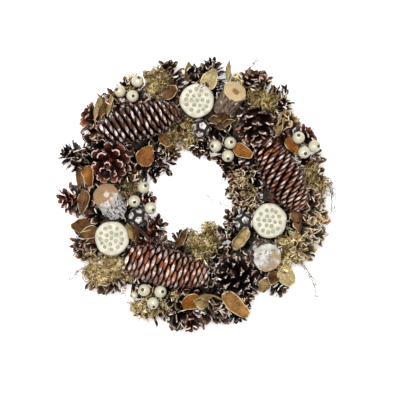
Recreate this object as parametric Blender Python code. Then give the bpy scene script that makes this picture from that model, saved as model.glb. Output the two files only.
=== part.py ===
"""A pinecone wreath, lying flat on its back. Metres, +Z up.

The origin is on the surface, under the middle of the wreath's box. A plain ring carries cones,
lotus pods, sawn logs, berries and leaves. Each piece is made along +Z about its own middle and
turned to its heading and lift. It then goes to the clear place nearest its own and is pushed home
until it all but touches what lies there.
"""

import math
import random

import bmesh
import bpy
import numpy as np
from mathutils import Matrix, Vector
from mathutils.bvhtree import BVHTree

# Where the middle of the ring stands, so that the whole wreath's box is centred on the origin
WREATH_MIDDLE = Vector((-0.0006, 0.0002, 0.0))

# The carrying ring
RING_RADIUS = 0.112
RING_TUBE_RADIUS = 0.020
RING_TUBE_HEIGHT = 0.018
RING_SEGMENTS = 18
RING_SIDES = 10
RING_WOBBLE = 0.0008

# How pieces are laid: the gap to keep, the steps to try, and how far a piece may be pushed
CLEARANCE = 0.0003
FLOOR_GAP = 0.0006
BACK_STEP = 0.0015
BACK_STEPS = 40
SIDE_STEP = 0.0025
SIDE_RINGS = (1, 6, 8, 10)
SIDE_COST = 2.6
PUSH_STEP = 0.0002
PUSH_MOST = 0.030

# Scales of the open cones: shares of the cone's width, and angles in degrees
SCALE_WIDTH_SHARE = 0.30
SCALE_THICKNESS_SHARE = 0.065
SCALE_SHOULDER = 0.80
SCALE_SPACING_SHARE = 0.86
SCALE_REACHES = (0.94, 1.04)
OPEN_CORE_LENGTH_SHARE = 0.86
OPEN_CORE_WIDTH_SHARE = 0.17
OPEN_CORE_TAPER_SHARE = 0.10
OPEN_BASE_ANGLE = -10.0
OPEN_ANGLE_RANGE = 76.0
OPEN_ANGLE_POWER = 1.2
OPEN_ANGLE_WANDER = 3.0
SPIRAL = 0.04

# How many scales stand round an open cone, and in how many levels
RIM_AROUND = 6
INNER_AROUND = 5
INNER_LEVELS = 4
TOP_AROUND = 7
TOP_LEVELS = 5

# Scales of the long closed cones
LONG_SCALE_ANGLE = 60.0
LONG_SCALE_REACH = 0.0105
LONG_SCALE_THICKNESS = 0.0022
LONG_SCALE_WIDTH_SHARE = 0.94
LONG_CORE_INSET = 0.0046
LONG_CORE_LENGTH_SHARE = 0.93
LONG_AROUND = 7
LONG_LEVELS = 9

# The long cones' outline: the part of a half turn's sine that it follows, and its power
LONG_ARC_START = 0.18
LONG_ARC_SPAN = 0.79
LONG_FULLNESS = 0.5

# Lotus pods: the outline as radius and height, and the rings of pits as radius and count
POD_HALF_HEIGHT = 0.018
POD_OUTLINE = (
    (0.0042, -0.0180),
    (0.0080, -0.0080),
    (0.0205, 0.0080),
    (0.0225, 0.0130),
    (0.0213, 0.0168),
    (0.0185, 0.0180),
)
POD_SIDES = 13
POD_PIT_WIDTH = 0.0046
POD_PIT_DEPTH = 0.0026
POD_PIT_RINGS = ((0.0, 1), (0.0082, 5), (0.0148, 9))

# Sawn logs: the outline as shares of half the width and half the length
LOG_OUTLINE = ((0.88, -1.0), (0.98, -0.86), (1.0, -0.2), (0.97, 0.5), (0.99, 0.94), (0.86, 1.0))
LOG_SIDES = 11
LOG_UNEVENNESS = 0.06

# Cypress cones: shares of the cone's width
PLATE_BALL_SHARE = 0.43
PLATE_CORNER_SHARE = 1.22
PLATE_GAP_SHARE = 0.045
PLATE_RISE_SHARE = 0.11

# Berries
BERRY_RADIUS = 0.0080
BUD_RADIUS = 0.0050
BERRY_STEM_RADIUS = 0.0013
CALYX_RADIUS = 0.0018
CALYX_DEPTH = 0.0020
CALYX_RISE = 0.0004

# Leaves
LEAF_THICKNESS = 0.0011
LEAF_ROWS = 3
LEAF_CUP_SHARE = 0.16
LEAF_WAVE_SHARE = 0.03
LEAF_TIP_SHARE = 0.10
LEAF_STALK_RADIUS = 0.0012
LEAF_ROOT_SHARE = 0.14
KNOT_RADIUS = 0.0022

# Rim cones: bearing on the ring, distance from its middle, height, turn from outward, lift,
# length, width, levels of scales
RIM_CONES = {
    "rim_cone_01": (5, 0.149, 0.030, 0, 22, 0.044, 0.048, 4),
    "rim_cone_02": (27, 0.150, 0.036, 0, 30, 0.048, 0.050, 4),
    "rim_cone_03": (46, 0.152, 0.030, 4, 22, 0.048, 0.046, 4),
    "rim_cone_04": (64, 0.151, 0.036, -4, 28, 0.048, 0.047, 4),
    "rim_cone_05": (82, 0.152, 0.031, 0, 20, 0.050, 0.047, 4),
    "rim_cone_06": (101, 0.150, 0.035, 4, 28, 0.046, 0.046, 4),
    "rim_cone_07": (122, 0.151, 0.031, 0, 22, 0.047, 0.050, 4),
    "rim_cone_08": (142, 0.153, 0.035, 4, 26, 0.049, 0.049, 4),
    "rim_cone_09": (162, 0.155, 0.031, 0, 18, 0.052, 0.048, 4),
    "rim_cone_10": (182, 0.150, 0.036, 4, 26, 0.047, 0.050, 4),
    "rim_cone_11": (204, 0.147, 0.031, 4, 24, 0.043, 0.050, 4),
    "rim_cone_12": (226, 0.148, 0.035, 0, 26, 0.045, 0.050, 4),
    "rim_cone_13": (247, 0.151, 0.031, -2, 22, 0.048, 0.050, 4),
    "rim_cone_14": (268, 0.152, 0.036, 4, 26, 0.050, 0.050, 4),
    "rim_cone_15": (290, 0.152, 0.031, 0, 20, 0.048, 0.050, 4),
    "rim_cone_16": (314, 0.151, 0.035, -4, 26, 0.047, 0.052, 4),
    "rim_cone_17": (340, 0.149, 0.032, 2, 22, 0.046, 0.052, 4),
}

# Inner cones: the same up to the width, with the heading turned towards the middle
INNER_CONES = {
    "inner_cone_01": (14, 0.073, 0.036, 0, 30, 0.042, 0.042),
    "inner_cone_02": (50, 0.073, 0.029, 0, 22, 0.040, 0.041),
    "inner_cone_03": (86, 0.073, 0.034, 0, 28, 0.039, 0.040),
    "inner_cone_04": (120, 0.073, 0.029, 4, 22, 0.040, 0.039),
    "inner_cone_05": (152, 0.073, 0.036, 0, 30, 0.042, 0.040),
    "inner_cone_06": (186, 0.073, 0.030, 0, 22, 0.040, 0.039),
    "inner_cone_07": (220, 0.073, 0.034, -4, 28, 0.042, 0.041),
    "inner_cone_08": (255, 0.073, 0.030, 0, 22, 0.041, 0.041),
    "inner_cone_09": (291, 0.073, 0.034, 0, 28, 0.041, 0.042),
    "inner_cone_10": (331, 0.073, 0.031, 4, 24, 0.042, 0.042),
}

# Top cones: x, y, height, heading, lift, length, width
TOP_CONES = {
    "top_cone_1": (-0.108, 0.041, 0.058, 200, 82, 0.044, 0.052),
    "top_cone_2": (0.079, 0.088, 0.060, 14, 34, 0.054, 0.049),
    "top_cone_3": (0.054, -0.105, 0.060, 150, 68, 0.047, 0.057),
}

# Long cones: x, y, height, heading of the tip, lift, length, width
LONG_CONES = {
    "long_cone_1": (-0.069, 0.093, 0.062, 16, 2, 0.098, 0.049),
    "long_cone_2": (0.1125, 0.0235, 0.064, -59, 2, 0.092, 0.052),
    "long_cone_3": (-0.036, -0.094, 0.063, -13, 2, 0.108, 0.050),
}

# Lotus pods: x, y, height, heading and lift of the seed face
LOTUS_PODS = {
    "lotus_pod_1": (0.004, 0.1195, 0.060, 90, 84),
    "lotus_pod_2": (0.101, -0.0325, 0.062, 200, 86),
    "lotus_pod_3": (-0.105, -0.059, 0.060, 120, 84),
}

# Sawn logs: x, y, height, heading and lift of the upper cut face, length, width
LOGS = {
    "log_1": (0.046, 0.121, 0.058, 59, 54, 0.042, 0.031),
    "log_2": (-0.108, -0.010, 0.058, 120, 62, 0.042, 0.034),
    "log_3": (0.092, -0.079, 0.062, -40, 74, 0.028, 0.038),
}

# Cypress cones: x, y, height, heading, lift, width
CYPRESS_CONES = {
    "cypress_cone_1": (0.009, 0.086, 0.050, 40, 70, 0.026),
    "cypress_cone_2": (-0.073, -0.030, 0.050, 300, 70, 0.026),
    "cypress_cone_3": (0.070, -0.037, 0.050, 60, 70, 0.026),
}

# Berry sprigs: the middle of each berry
BERRY_SPRIGS = {
    "berry_sprig_1": ((-0.096, 0.134, 0.062), (-0.073, 0.147, 0.062), (-0.079, 0.127, 0.070)),
    "berry_sprig_2": ((0.135, 0.073, 0.070), (0.156, 0.062, 0.062), (0.142, 0.054, 0.072)),
    "berry_sprig_3": ((0.029, 0.063, 0.062), (0.048, 0.067, 0.068), (0.045, 0.050, 0.064)),
    "berry_sprig_4": ((-0.065, 0.009, 0.064), (-0.077, -0.009, 0.068), (-0.056, -0.018, 0.062)),
    "berry_sprig_5": ((-0.064, -0.1215, 0.070), (-0.043, -0.1235, 0.071), (-0.053, -0.139, 0.062)),
}

# Where each sprig's stems meet
SPRIG_FEET = {
    "berry_sprig_1": (-0.083, 0.128, 0.055),
    "berry_sprig_2": (0.136, 0.062, 0.057),
    "berry_sprig_3": (0.044, 0.065, 0.055),
    "berry_sprig_4": (-0.080, -0.003, 0.050),
    "berry_sprig_5": (-0.057, -0.125, 0.057),
}

# A bud beside a sprig's berries
SPRIG_BUDS = {"berry_sprig_5": (-0.078, -0.129, 0.058)}

# Leaf sprays: each leaf's middle x, y, height, heading, lift, roll, length, width and curl, then the
# place where the stalks meet
LEAF_SPRAYS = {
    "leaves_northwest_inner": (
        (
            (-0.063, 0.050, 0.066, 60, 12, 0, 0.028, 0.026, 20),
            (-0.037, 0.071, 0.056, -60, 24, 0, 0.020, 0.018, 30),
        ),
        (-0.058, 0.062, 0.055),
    ),
    "leaves_northwest_rim": (
        (
            (-0.127, 0.105, 0.062, 262, 8, -64, 0.032, 0.022, 44),
            (-0.121, 0.106, 0.064, 260, 10, -60, 0.032, 0.022, 44),
            (-0.115, 0.109, 0.066, 262, 12, -50, 0.030, 0.022, 40),
            (-0.103, 0.120, 0.060, 135, 40, 70, 0.026, 0.020, 20),
        ),
        (-0.115, 0.126, 0.054),
    ),
    "leaves_west": (
        (
            (-0.149, 0.025, 0.058, 265, 15, -35, 0.026, 0.018, 30),
            (-0.134, 0.024, 0.062, 285, 20, 35, 0.028, 0.020, 30),
            (-0.142, -0.011, 0.060, 262, 15, 20, 0.031, 0.018, 30),
        ),
        (-0.140, 0.008, 0.052),
    ),
    "leaves_southwest": (
        (
            (-0.146, -0.040, 0.058, 190, 34, 20, 0.030, 0.020, 40),
            (-0.137, -0.048, 0.062, 200, 30, 0, 0.028, 0.018, 30),
            (-0.134, -0.067, 0.058, 230, 34, 0, 0.026, 0.018, 30),
        ),
        (-0.130, -0.058, 0.054),
    ),
    "leaves_southwest_inner": (
        (
            (-0.084, -0.048, 0.060, 285, 15, 60, 0.024, 0.018, 44),
            (-0.076, -0.050, 0.058, 280, 12, 66, 0.026, 0.018, 50),
            (-0.024, -0.055, 0.054, 55, 25, 62, 0.034, 0.018, 30),
        ),
        (-0.056, -0.062, 0.050),
    ),
    "leaves_south": (
        (
            (-0.003, -0.140, 0.062, 200, 24, 0, 0.026, 0.022, 30),
            (0.019, -0.129, 0.066, 0, 6, 58, 0.036, 0.026, 70),
            (0.054, -0.144, 0.064, 315, 12, -15, 0.042, 0.022, 30),
        ),
        (0.024, -0.136, 0.054),
    ),
    "leaves_southeast_inner": (
        (
            (0.058, -0.055, 0.058, 55, 12, 30, 0.030, 0.017, 36),
            (0.064, -0.062, 0.057, 50, 12, -40, 0.030, 0.017, 36),
        ),
        (0.050, -0.074, 0.050),
    ),
    "leaves_southeast": (
        (
            (0.104, -0.108, 0.062, 250, 40, 0, 0.022, 0.018, 20),
            (0.122, -0.106, 0.060, 300, 26, 0, 0.026, 0.024, 20),
            (0.091, -0.118, 0.060, 230, 30, 0, 0.020, 0.016, 20),
        ),
        (0.107, -0.102, 0.054),
    ),
    "leaf_east": (
        ((0.134, -0.031, 0.062, 275, 12, 64, 0.032, 0.020, 50),),
        (0.132, -0.012, 0.052),
    ),
    "leaves_northeast": (
        (
            (0.126, 0.061, 0.066, 315, 14, -16, 0.028, 0.024, 16),
            (0.114, 0.091, 0.064, 251, 10, 68, 0.036, 0.020, 30),
            (0.093, 0.119, 0.062, 10, 8, -40, 0.036, 0.017, 30),
        ),
        (0.118, 0.088, 0.055),
    ),
    "leaves_north": (
        (
            (-0.030, 0.131, 0.060, 20, 22, 0, 0.022, 0.018, 10),
            (-0.006, 0.156, 0.062, 100, 25, 30, 0.026, 0.020, 30),
            (0.022, 0.146, 0.066, 60, 30, 0, 0.028, 0.023, 20),
            (0.043, 0.158, 0.060, 85, 15, 62, 0.028, 0.018, 40),
        ),
        (0.008, 0.146, 0.053),
    ),
    "leaves_north_inner": (
        (
            (0.032, 0.104, 0.062, 12, 10, 66, 0.028, 0.020, 44),
            (0.038, 0.095, 0.058, 20, 10, 66, 0.026, 0.020, 40),
            (0.064, 0.055, 0.056, 330, 24, 0, 0.028, 0.018, 20),
        ),
        (0.043, 0.084, 0.051),
    ),
}

# Colour, roughness and metallic value of each finish
FINISHES = {
    "straw": ((0.30, 0.20, 0.09), 0.9, 0.0),
    "open_cone": ((0.12, 0.055, 0.03), 0.7, 0.0),
    "long_cone": ((0.22, 0.08, 0.045), 0.6, 0.0),
    "lotus_pod": ((0.76, 0.74, 0.60), 0.8, 0.0),
    "log": ((0.55, 0.40, 0.24), 0.8, 0.0),
    "berry": ((0.86, 0.83, 0.70), 0.35, 0.0),
    "cypress_cone": ((0.24, 0.20, 0.17), 0.7, 0.0),
    "leaf": ((0.36, 0.20, 0.06), 0.6, 0.0),
}


def clear_scene():
    for item in list(bpy.data.objects):
        bpy.data.objects.remove(item, do_unlink=True)


def finish_material(name):
    colour, roughness, metallic = FINISHES[name]
    material = bpy.data.materials.new(name)
    material.use_nodes = True
    shader = material.node_tree.nodes["Principled BSDF"]
    shader.inputs["Base Color"].default_value = (*colour, 1.0)
    shader.inputs["Roughness"].default_value = roughness
    shader.inputs["Metallic"].default_value = metallic
    return material


# Laying a piece in place


def turned(heading, lift, roll=0.0):
    """The turn that points +Z along a heading, raised from level by lift, after a roll about +Z."""
    return (
        Matrix.Rotation(math.radians(heading), 4, "Z")
        @ Matrix.Rotation(math.radians(90 - lift), 4, "Y")
        @ Matrix.Rotation(math.radians(roll), 4, "Z")
    )


def around(radius, angle, height=0.0):
    """A point on a level circle about +Z."""
    return Vector((radius * math.cos(angle), radius * math.sin(angle), height))


def ring_pull(place):
    """The level direction from a place to the ring's own circle."""
    level = Vector((place.x, place.y, 0.0))
    inward = -level.normalized()
    return inward if level.length > RING_RADIUS else -inward


class Laid:
    """What is already in place, as one tree of faces to test against."""

    def __init__(self):
        self.points = []
        self.faces = []
        self.tree = None

    def add(self, points, faces):
        first = len(self.points)
        self.points.extend(points)
        self.faces.extend([tuple(first + i for i in face) for face in faces])
        self.tree = BVHTree.FromPolygons(self.points, self.faces)

    def meets(self, points, faces):
        return bool(self.tree.overlap(BVHTree.FromPolygons(points, faces)))


def object_from(name, bm, finish, matrix):
    bmesh.ops.recalc_face_normals(bm, faces=bm.faces)
    bmesh.ops.triangulate(bm, faces=bm.faces, quad_method="LONG_EDGE")
    mesh = bpy.data.meshes.new(name)
    bm.to_mesh(mesh)
    bm.free()
    mesh.materials.append(finish)
    item = bpy.data.objects.new(name, mesh)
    bpy.context.scene.collection.objects.link(item)
    item.matrix_world = matrix
    return item


def shifts_to_try(pull):
    """Shifts from the wished place, nearest first: back against the pull and a little to each side."""
    across = pull.orthogonal().normalized()
    third = pull.cross(across)
    shifts = []
    for back in range(BACK_STEPS):
        for ring, count in enumerate(SIDE_RINGS):
            for j in range(count):
                angle = 2 * math.pi * j / count
                side = (across * math.cos(angle) + third * math.sin(angle)) * ring * SIDE_STEP
                cost = back * BACK_STEP + SIDE_COST * ring * SIDE_STEP
                shifts.append((cost, side - pull * back * BACK_STEP))
    shifts.sort(key=lambda pair: pair[0])
    return [shift for _, shift in shifts]


def seat(item, pull, laid):
    """Puts the piece in the clear place nearest its own, then pushes it along pull until it touches."""
    mesh = item.data
    turn = item.matrix_world.to_3x3()
    faces = [tuple(face.vertices) for face in mesh.polygons]
    points = np.array([item.matrix_world @ vertex.co for vertex in mesh.vertices])
    normals = np.array([turn @ vertex.normal for vertex in mesh.vertices])
    swollen = points + CLEARANCE * normals

    def blocked(shift):
        moved = swollen + np.array(shift)
        return moved[:, 2].min() < FLOOR_GAP or laid.meets(moved.tolist(), faces)

    shift = next(shift for shift in shifts_to_try(pull) if not blocked(shift))
    pushed = 0.0
    while pushed < PUSH_MOST and not blocked(shift + pull * PUSH_STEP):
        shift = shift + pull * PUSH_STEP
        pushed += PUSH_STEP
    item.matrix_world = Matrix.Translation(shift) @ item.matrix_world
    laid.add((points + np.array(shift)).tolist(), faces)


# Shapes of the pieces


def diamond_core(bm, radius_at, length, sides, levels):
    """A closed spindle of diamond faces about +Z, and the diamonds with their level and azimuth."""
    step = 2 * math.pi / sides
    rings = []
    for k in range(levels + 2):
        share = k / (levels + 1)
        turns = [step * (j + k * (0.5 + SPIRAL)) for j in range(sides)]
        rings.append([bm.verts.new(around(radius_at(share), turn, length * (share - 0.5))) for turn in turns])
    diamonds = []
    for k in range(levels):
        for j in range(sides):
            corners = (rings[k][j], rings[k + 1][j], rings[k + 2][j - 1], rings[k + 1][j - 1])
            azimuth = step * (j + k * (0.5 + SPIRAL) + SPIRAL)
            diamonds.append((bm.faces.new(corners), k, azimuth))
    for j in range(sides):
        bm.faces.new((rings[0][j], rings[0][(j + 1) % sides], rings[1][j]))
        bm.faces.new((rings[-2][j], rings[-1][j], rings[-1][j - 1]))
    bm.faces.new(tuple(reversed(rings[0])))
    bm.faces.new(tuple(rings[-1]))
    return diamonds


def draw_scale(face, root, azimuth, angle, reach, width, thickness):
    """Moves an extruded diamond out to the end of a scale: wide across, thin along the cone."""
    radial = around(1.0, azimuth)
    side = Vector((-radial.y, radial.x, 0.0))
    up = Vector((0.0, 0.0, 1.0))
    along = radial * math.cos(angle) + up * math.sin(angle)
    across = up * math.cos(angle) - radial * math.sin(angle)
    end = root + along * reach
    shoulder = root + along * reach * SCALE_SHOULDER
    lower, right, upper, left = face.verts
    lower.co = end - across * thickness / 2
    right.co = shoulder + side * width / 2
    upper.co = end + across * thickness / 2
    left.co = shoulder - side * width / 2


def open_bulge(share):
    """How far the scale ends stand out, as a share of half the width, from the stem end to the tip."""
    return math.sin(math.pi * (0.25 + 0.70 * share)) ** 0.8


def open_cone(name, length, width, sides, levels):
    """An open pine cone: a slim core with every diamond drawn out into a scale."""
    rng = random.Random(name)
    bm = bmesh.new()
    core_length = OPEN_CORE_LENGTH_SHARE * length

    def core_radius(share):
        return width * (OPEN_CORE_WIDTH_SHARE - OPEN_CORE_TAPER_SHARE * share)

    diamonds = diamond_core(bm, core_radius, core_length, sides, levels)
    grown = bmesh.ops.extrude_discrete_faces(bm, faces=[face for face, _, _ in diamonds])["faces"]
    for face, (_, level, azimuth) in zip(grown, diamonds):
        share = (level + 1) / (levels + 1)
        wander = rng.uniform(-OPEN_ANGLE_WANDER, OPEN_ANGLE_WANDER)
        angle = math.radians(OPEN_BASE_ANGLE + OPEN_ANGLE_RANGE * share**OPEN_ANGLE_POWER + wander)
        radius = core_radius(share)
        bulge = open_bulge(share) * width / 2
        reach = (bulge - radius) / math.cos(angle) * rng.uniform(*SCALE_REACHES)
        spacing = 2 * math.pi * (radius + SCALE_SHOULDER * reach * math.cos(angle)) / sides
        scale_width = min(SCALE_WIDTH_SHARE * width, SCALE_SPACING_SHARE * spacing)
        root = around(radius, azimuth, core_length * (share - 0.5))
        draw_scale(face, root, azimuth, angle, reach, scale_width, SCALE_THICKNESS_SHARE * width)
    return bm


def rim_cone(name, length, width, levels):
    return open_cone(name, length, width, RIM_AROUND, levels)


def inner_cone(name, length, width):
    return open_cone(name, length, width, INNER_AROUND, INNER_LEVELS)


def top_cone(name, length, width):
    return open_cone(name, length, width, TOP_AROUND, TOP_LEVELS)


def spindle(share):
    """The long cone's outline, as a share of its greatest radius, from the stem end to the tip."""
    return math.sin(math.pi * (LONG_ARC_START + LONG_ARC_SPAN * share)) ** LONG_FULLNESS


def long_cone(name, length, width):
    """A long closed cone: a full core under short scales that overlap towards the tip."""
    rng = random.Random(name)
    bm = bmesh.new()
    core_length = LONG_CORE_LENGTH_SHARE * length

    def core_radius(share):
        return (width / 2 - LONG_CORE_INSET) * spindle(share)

    diamonds = diamond_core(bm, core_radius, core_length, LONG_AROUND, LONG_LEVELS)
    grown = bmesh.ops.extrude_discrete_faces(bm, faces=[face for face, _, _ in diamonds])["faces"]
    angle = math.radians(LONG_SCALE_ANGLE)
    for face, (_, level, azimuth) in zip(grown, diamonds):
        share = (level + 1) / (LONG_LEVELS + 1)
        radius = core_radius(share)
        reach = LONG_SCALE_REACH * rng.uniform(*SCALE_REACHES)
        scale_width = LONG_SCALE_WIDTH_SHARE * 2 * math.pi * radius / LONG_AROUND
        root = around(radius, azimuth, core_length * (share - 0.5))
        draw_scale(face, root, azimuth, angle, reach, scale_width, LONG_SCALE_THICKNESS)
    return bm


def lathe(bm, outline, sides):
    """A closed surface turned about +Z from (radius, height) pairs, lowest first, with flat ends."""
    turns = [2 * math.pi * j / sides for j in range(sides)]
    rings = [[bm.verts.new(around(radius, turn, height)) for turn in turns] for radius, height in outline]
    for low, high in zip(rings, rings[1:]):
        for j in range(sides):
            after = (j + 1) % sides
            bm.faces.new((low[j], low[after], high[after], high[j]))
    bm.faces.new(tuple(reversed(rings[0])))
    bm.faces.new(tuple(rings[-1]))
    return rings


def loose_object(name, bm):
    mesh = bpy.data.meshes.new(name)
    bm.to_mesh(mesh)
    bm.free()
    item = bpy.data.objects.new(name, mesh)
    bpy.context.scene.collection.objects.link(item)
    return item


def joined(pieces, operation="UNION"):
    """One closed mesh from a first piece and the others, by one Boolean on a collection."""
    first, others = pieces[0], pieces[1:]
    group = bpy.data.collections.new("joining")
    bpy.context.scene.collection.children.link(group)
    for item in others:
        bpy.context.scene.collection.objects.unlink(item)
        group.objects.link(item)
    modifier = first.modifiers.new("Join", "BOOLEAN")
    modifier.operation = operation
    modifier.operand_type = "COLLECTION"
    modifier.collection = group
    modifier.solver = "EXACT"
    graph = bpy.context.evaluated_depsgraph_get()
    result = bmesh.new()
    result.from_mesh(first.evaluated_get(graph).to_mesh())
    bmesh.ops.triangulate(result, faces=result.faces)
    for item in [first, *others]:
        bpy.data.objects.remove(item, do_unlink=True)
    bpy.data.collections.remove(group)
    return result


def lotus_pod(name):
    """A dried seed pod: a cup on a short neck, with pits in its flat face."""
    body = bmesh.new()
    lathe(body, POD_OUTLINE, POD_SIDES)
    bmesh.ops.recalc_face_normals(body, faces=body.faces)
    pits = bmesh.new()
    shape = Matrix.Diagonal((POD_PIT_WIDTH, POD_PIT_WIDTH, 2 * POD_PIT_DEPTH, 1.0))
    for ring, (radius, count) in enumerate(POD_PIT_RINGS):
        for j in range(count):
            angle = 2 * math.pi * (j + 0.5 * ring) / count
            place = Matrix.Translation(around(radius, angle, POD_HALF_HEIGHT))
            turn = Matrix.Rotation(angle, 4, "Z")
            bmesh.ops.create_cube(pits, size=1.0, matrix=place @ turn @ shape)
    return joined([loose_object(name, body), loose_object("pits", pits)], "DIFFERENCE")


def log(name, length, width):
    """A short sawn branch: an uneven barrel of bark with bevelled cut faces."""
    rng = random.Random(name)
    bm = bmesh.new()
    outline = [(radius * width / 2, height * length / 2) for radius, height in LOG_OUTLINE]
    rings = lathe(bm, outline, LOG_SIDES)
    for j in range(LOG_SIDES):
        swell = 1 + rng.uniform(-LOG_UNEVENNESS, LOG_UNEVENNESS)
        for ring in rings:
            ring[j].co.x *= swell
            ring[j].co.y *= swell
    return bm


def plated_ball(radius):
    """Twelve five-sided plates round a ball, with their corners at the middles of an icosahedron's faces."""
    ball = bmesh.new()
    bmesh.ops.create_icosphere(ball, subdivisions=1, radius=radius)
    bm = bmesh.new()
    middles = {face: bm.verts.new(face.calc_center_median() * PLATE_CORNER_SHARE) for face in ball.faces}
    for vertex in ball.verts:
        outward = vertex.co.normalized()
        start = outward.orthogonal().normalized()
        quarter = outward.cross(start)

        def bearing(face):
            spoke = face.calc_center_median() - vertex.co
            return math.atan2(spoke.dot(quarter), spoke.dot(start))

        bm.faces.new([middles[face] for face in sorted(vertex.link_faces, key=bearing)])
    ball.free()
    return bm


def cypress_cone(name, width):
    """A round woody cone of thick plates with deep cracks between them."""
    bm = plated_ball(PLATE_BALL_SHARE * width)
    plates = list(bm.faces)
    bmesh.ops.recalc_face_normals(bm, faces=plates)
    bmesh.ops.inset_individual(bm, faces=plates, thickness=PLATE_GAP_SHARE * width, depth=0.0)
    for plate in plates:
        rise = plate.normal * PLATE_RISE_SHARE * width
        for vertex in plate.verts:
            vertex.co += rise
    return bm


def rod(start, end, radius, sides):
    """A straight stem between two points, closed at both ends."""
    bm = bmesh.new()
    line = end - start
    turn = line.to_track_quat("Z", "Y").to_matrix().to_4x4()
    place = Matrix.Translation((start + end) / 2) @ turn
    bmesh.ops.create_cone(
        bm, cap_ends=True, segments=sides, radius1=radius, radius2=radius, depth=line.length, matrix=place
    )
    return bm


def stem(foot, end, radius):
    return loose_object("stem", rod(foot, end, radius, 3))


def knot(foot):
    """The small knot where stems meet."""
    bm = bmesh.new()
    bmesh.ops.create_icosphere(bm, subdivisions=1, radius=KNOT_RADIUS, matrix=Matrix.Translation(foot))
    return loose_object("knot", bm)


def berry(centre, foot, radius):
    """A round berry on its stem, with a dark calyx nub on the far side."""
    away = (centre - foot).normalized()
    bm = bmesh.new()
    tilt = Matrix.Rotation(0.3, 4, "X")
    bmesh.ops.create_icosphere(bm, subdivisions=2, radius=radius, matrix=Matrix.Translation(centre) @ tilt)
    nub = centre + away * (radius + CALYX_RISE)
    calyx = rod(nub - away * CALYX_DEPTH, nub, CALYX_RADIUS, 4)
    return [loose_object("berry", bm), stem(foot, centre, BERRY_STEM_RADIUS), loose_object("calyx", calyx)]


def berry_sprig(name, middle):
    foot = Vector(SPRIG_FEET[name]) - middle
    pieces = [knot(foot)]
    for place in BERRY_SPRIGS[name]:
        pieces += berry(Vector(place) - middle, foot, BERRY_RADIUS)
    if name in SPRIG_BUDS:
        pieces += berry(Vector(SPRIG_BUDS[name]) - middle, foot, BUD_RADIUS)
    return joined(pieces)


def leaf_half_width(share):
    """Half the width of a leaf along its length, as a share of half its greatest width."""
    return math.sin(math.pi * (0.06 + 0.78 * share)) ** 0.7


def leaf_rib(share, length, curl):
    """A point along the middle of a leaf's front: a shallow bow with its hollow towards -X."""
    bend = math.radians(curl)
    bow = 0.5 * length * bend * (share - 0.5) ** 2
    return Vector((-bow, 0.0, length * (share - 0.5) * math.cos(0.5 * bend * (share - 0.5))))


def leaf_front(length, width, curl):
    """Rows of three points over the front of a cupped, waved blade."""
    front = []
    for i in range(LEAF_ROWS + 1):
        share = i / LEAF_ROWS
        half = 0.5 * width * leaf_half_width(share)
        rib = leaf_rib(share, length, curl)
        tip = LEAF_TIP_SHARE * length if i == LEAF_ROWS else 0.0
        wave = LEAF_WAVE_SHARE * width * math.sin(5 * share)
        cup = LEAF_CUP_SHARE * half
        front.append((rib.x - cup + wave, -half, rib.z))
        front.append((rib.x, 0.0, rib.z + tip))
        front.append((rib.x - cup - wave, half, rib.z))
    return front


def leaf_blade(length, width, curl):
    """A curling blade along +Z about its middle, its front facing -X, of one thickness."""
    bm = bmesh.new()
    front = leaf_front(length, width, curl)
    fore = [bm.verts.new(point) for point in front]
    back = [bm.verts.new((x + LEAF_THICKNESS, y, z)) for x, y, z in front]
    for i in range(LEAF_ROWS):
        low, high = 3 * i, 3 * i + 3
        triangles = ((low, low + 1, high + 1), (low, high + 1, high))
        triangles += ((low + 1, low + 2, high + 1), (low + 2, high + 2, high + 1))
        for a, b, c in triangles:
            bm.faces.new((fore[c], fore[b], fore[a]))
            bm.faces.new((back[a], back[b], back[c]))
    right_edge = [3 * i + 2 for i in range(LEAF_ROWS + 1)]
    left_edge = [3 * i for i in range(LEAF_ROWS, 0, -1)]
    border = [0, 1, *right_edge, 3 * LEAF_ROWS + 1, *left_edge]
    for a, b in zip(border, border[1:] + border[:1]):
        bm.faces.new((fore[a], fore[b], back[b], back[a]))
    bmesh.ops.recalc_face_normals(bm, faces=bm.faces)
    return bm


def leaf_spray(name, middle):
    """Blades on short stalks that run together at one foot."""
    leaves, foot = LEAF_SPRAYS[name]
    foot = Vector(foot) - middle
    inside = Vector((LEAF_THICKNESS / 2, 0.0, 0.0))
    pieces = [knot(foot)]
    for x, y, z, heading, lift, roll, length, width, curl in leaves:
        place = Matrix.Translation(Vector((x, y, z)) - middle) @ turned(heading, lift, roll)
        blade = leaf_blade(length, width, curl)
        bmesh.ops.transform(blade, matrix=place, verts=blade.verts)
        pieces.append(loose_object("blade", blade))
        root = place @ (leaf_rib(LEAF_ROOT_SHARE, length, curl) + inside)
        pieces.append(stem(foot, root, LEAF_STALK_RADIUS))
    return joined(pieces)


def ring_base():
    """The carrying ring: a lightly uneven tube with a flat strip under it."""
    bm = bmesh.new()
    rings = []
    for i in range(RING_SEGMENTS):
        bearing = 2 * math.pi * i / RING_SEGMENTS
        ring = []
        for j in range(RING_SIDES):
            angle = 2 * math.pi * (j + 0.5) / RING_SIDES - math.pi / 2
            radius = RING_TUBE_RADIUS + RING_WOBBLE * math.sin(7 * bearing + 2 * angle)
            under = j in (0, RING_SIDES - 1)
            height = 0.0 if under else RING_TUBE_HEIGHT + radius * math.sin(angle)
            ring.append(bm.verts.new(around(RING_RADIUS + radius * math.cos(angle), bearing, height)))
        rings.append(ring)
    for i in range(RING_SEGMENTS):
        after = rings[(i + 1) % RING_SEGMENTS]
        for j in range(RING_SIDES):
            up = (j + 1) % RING_SIDES
            bm.faces.new((rings[i][j], after[j], after[up], rings[i][up]))
    return bm


# The wreath


def lay(name, bm, finish, place, turn, pull, laid):
    item = object_from(name, bm, finish, Matrix.Translation(place + WREATH_MIDDLE) @ turn)
    bpy.context.view_layer.update()
    seat(item, pull, laid)


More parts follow.
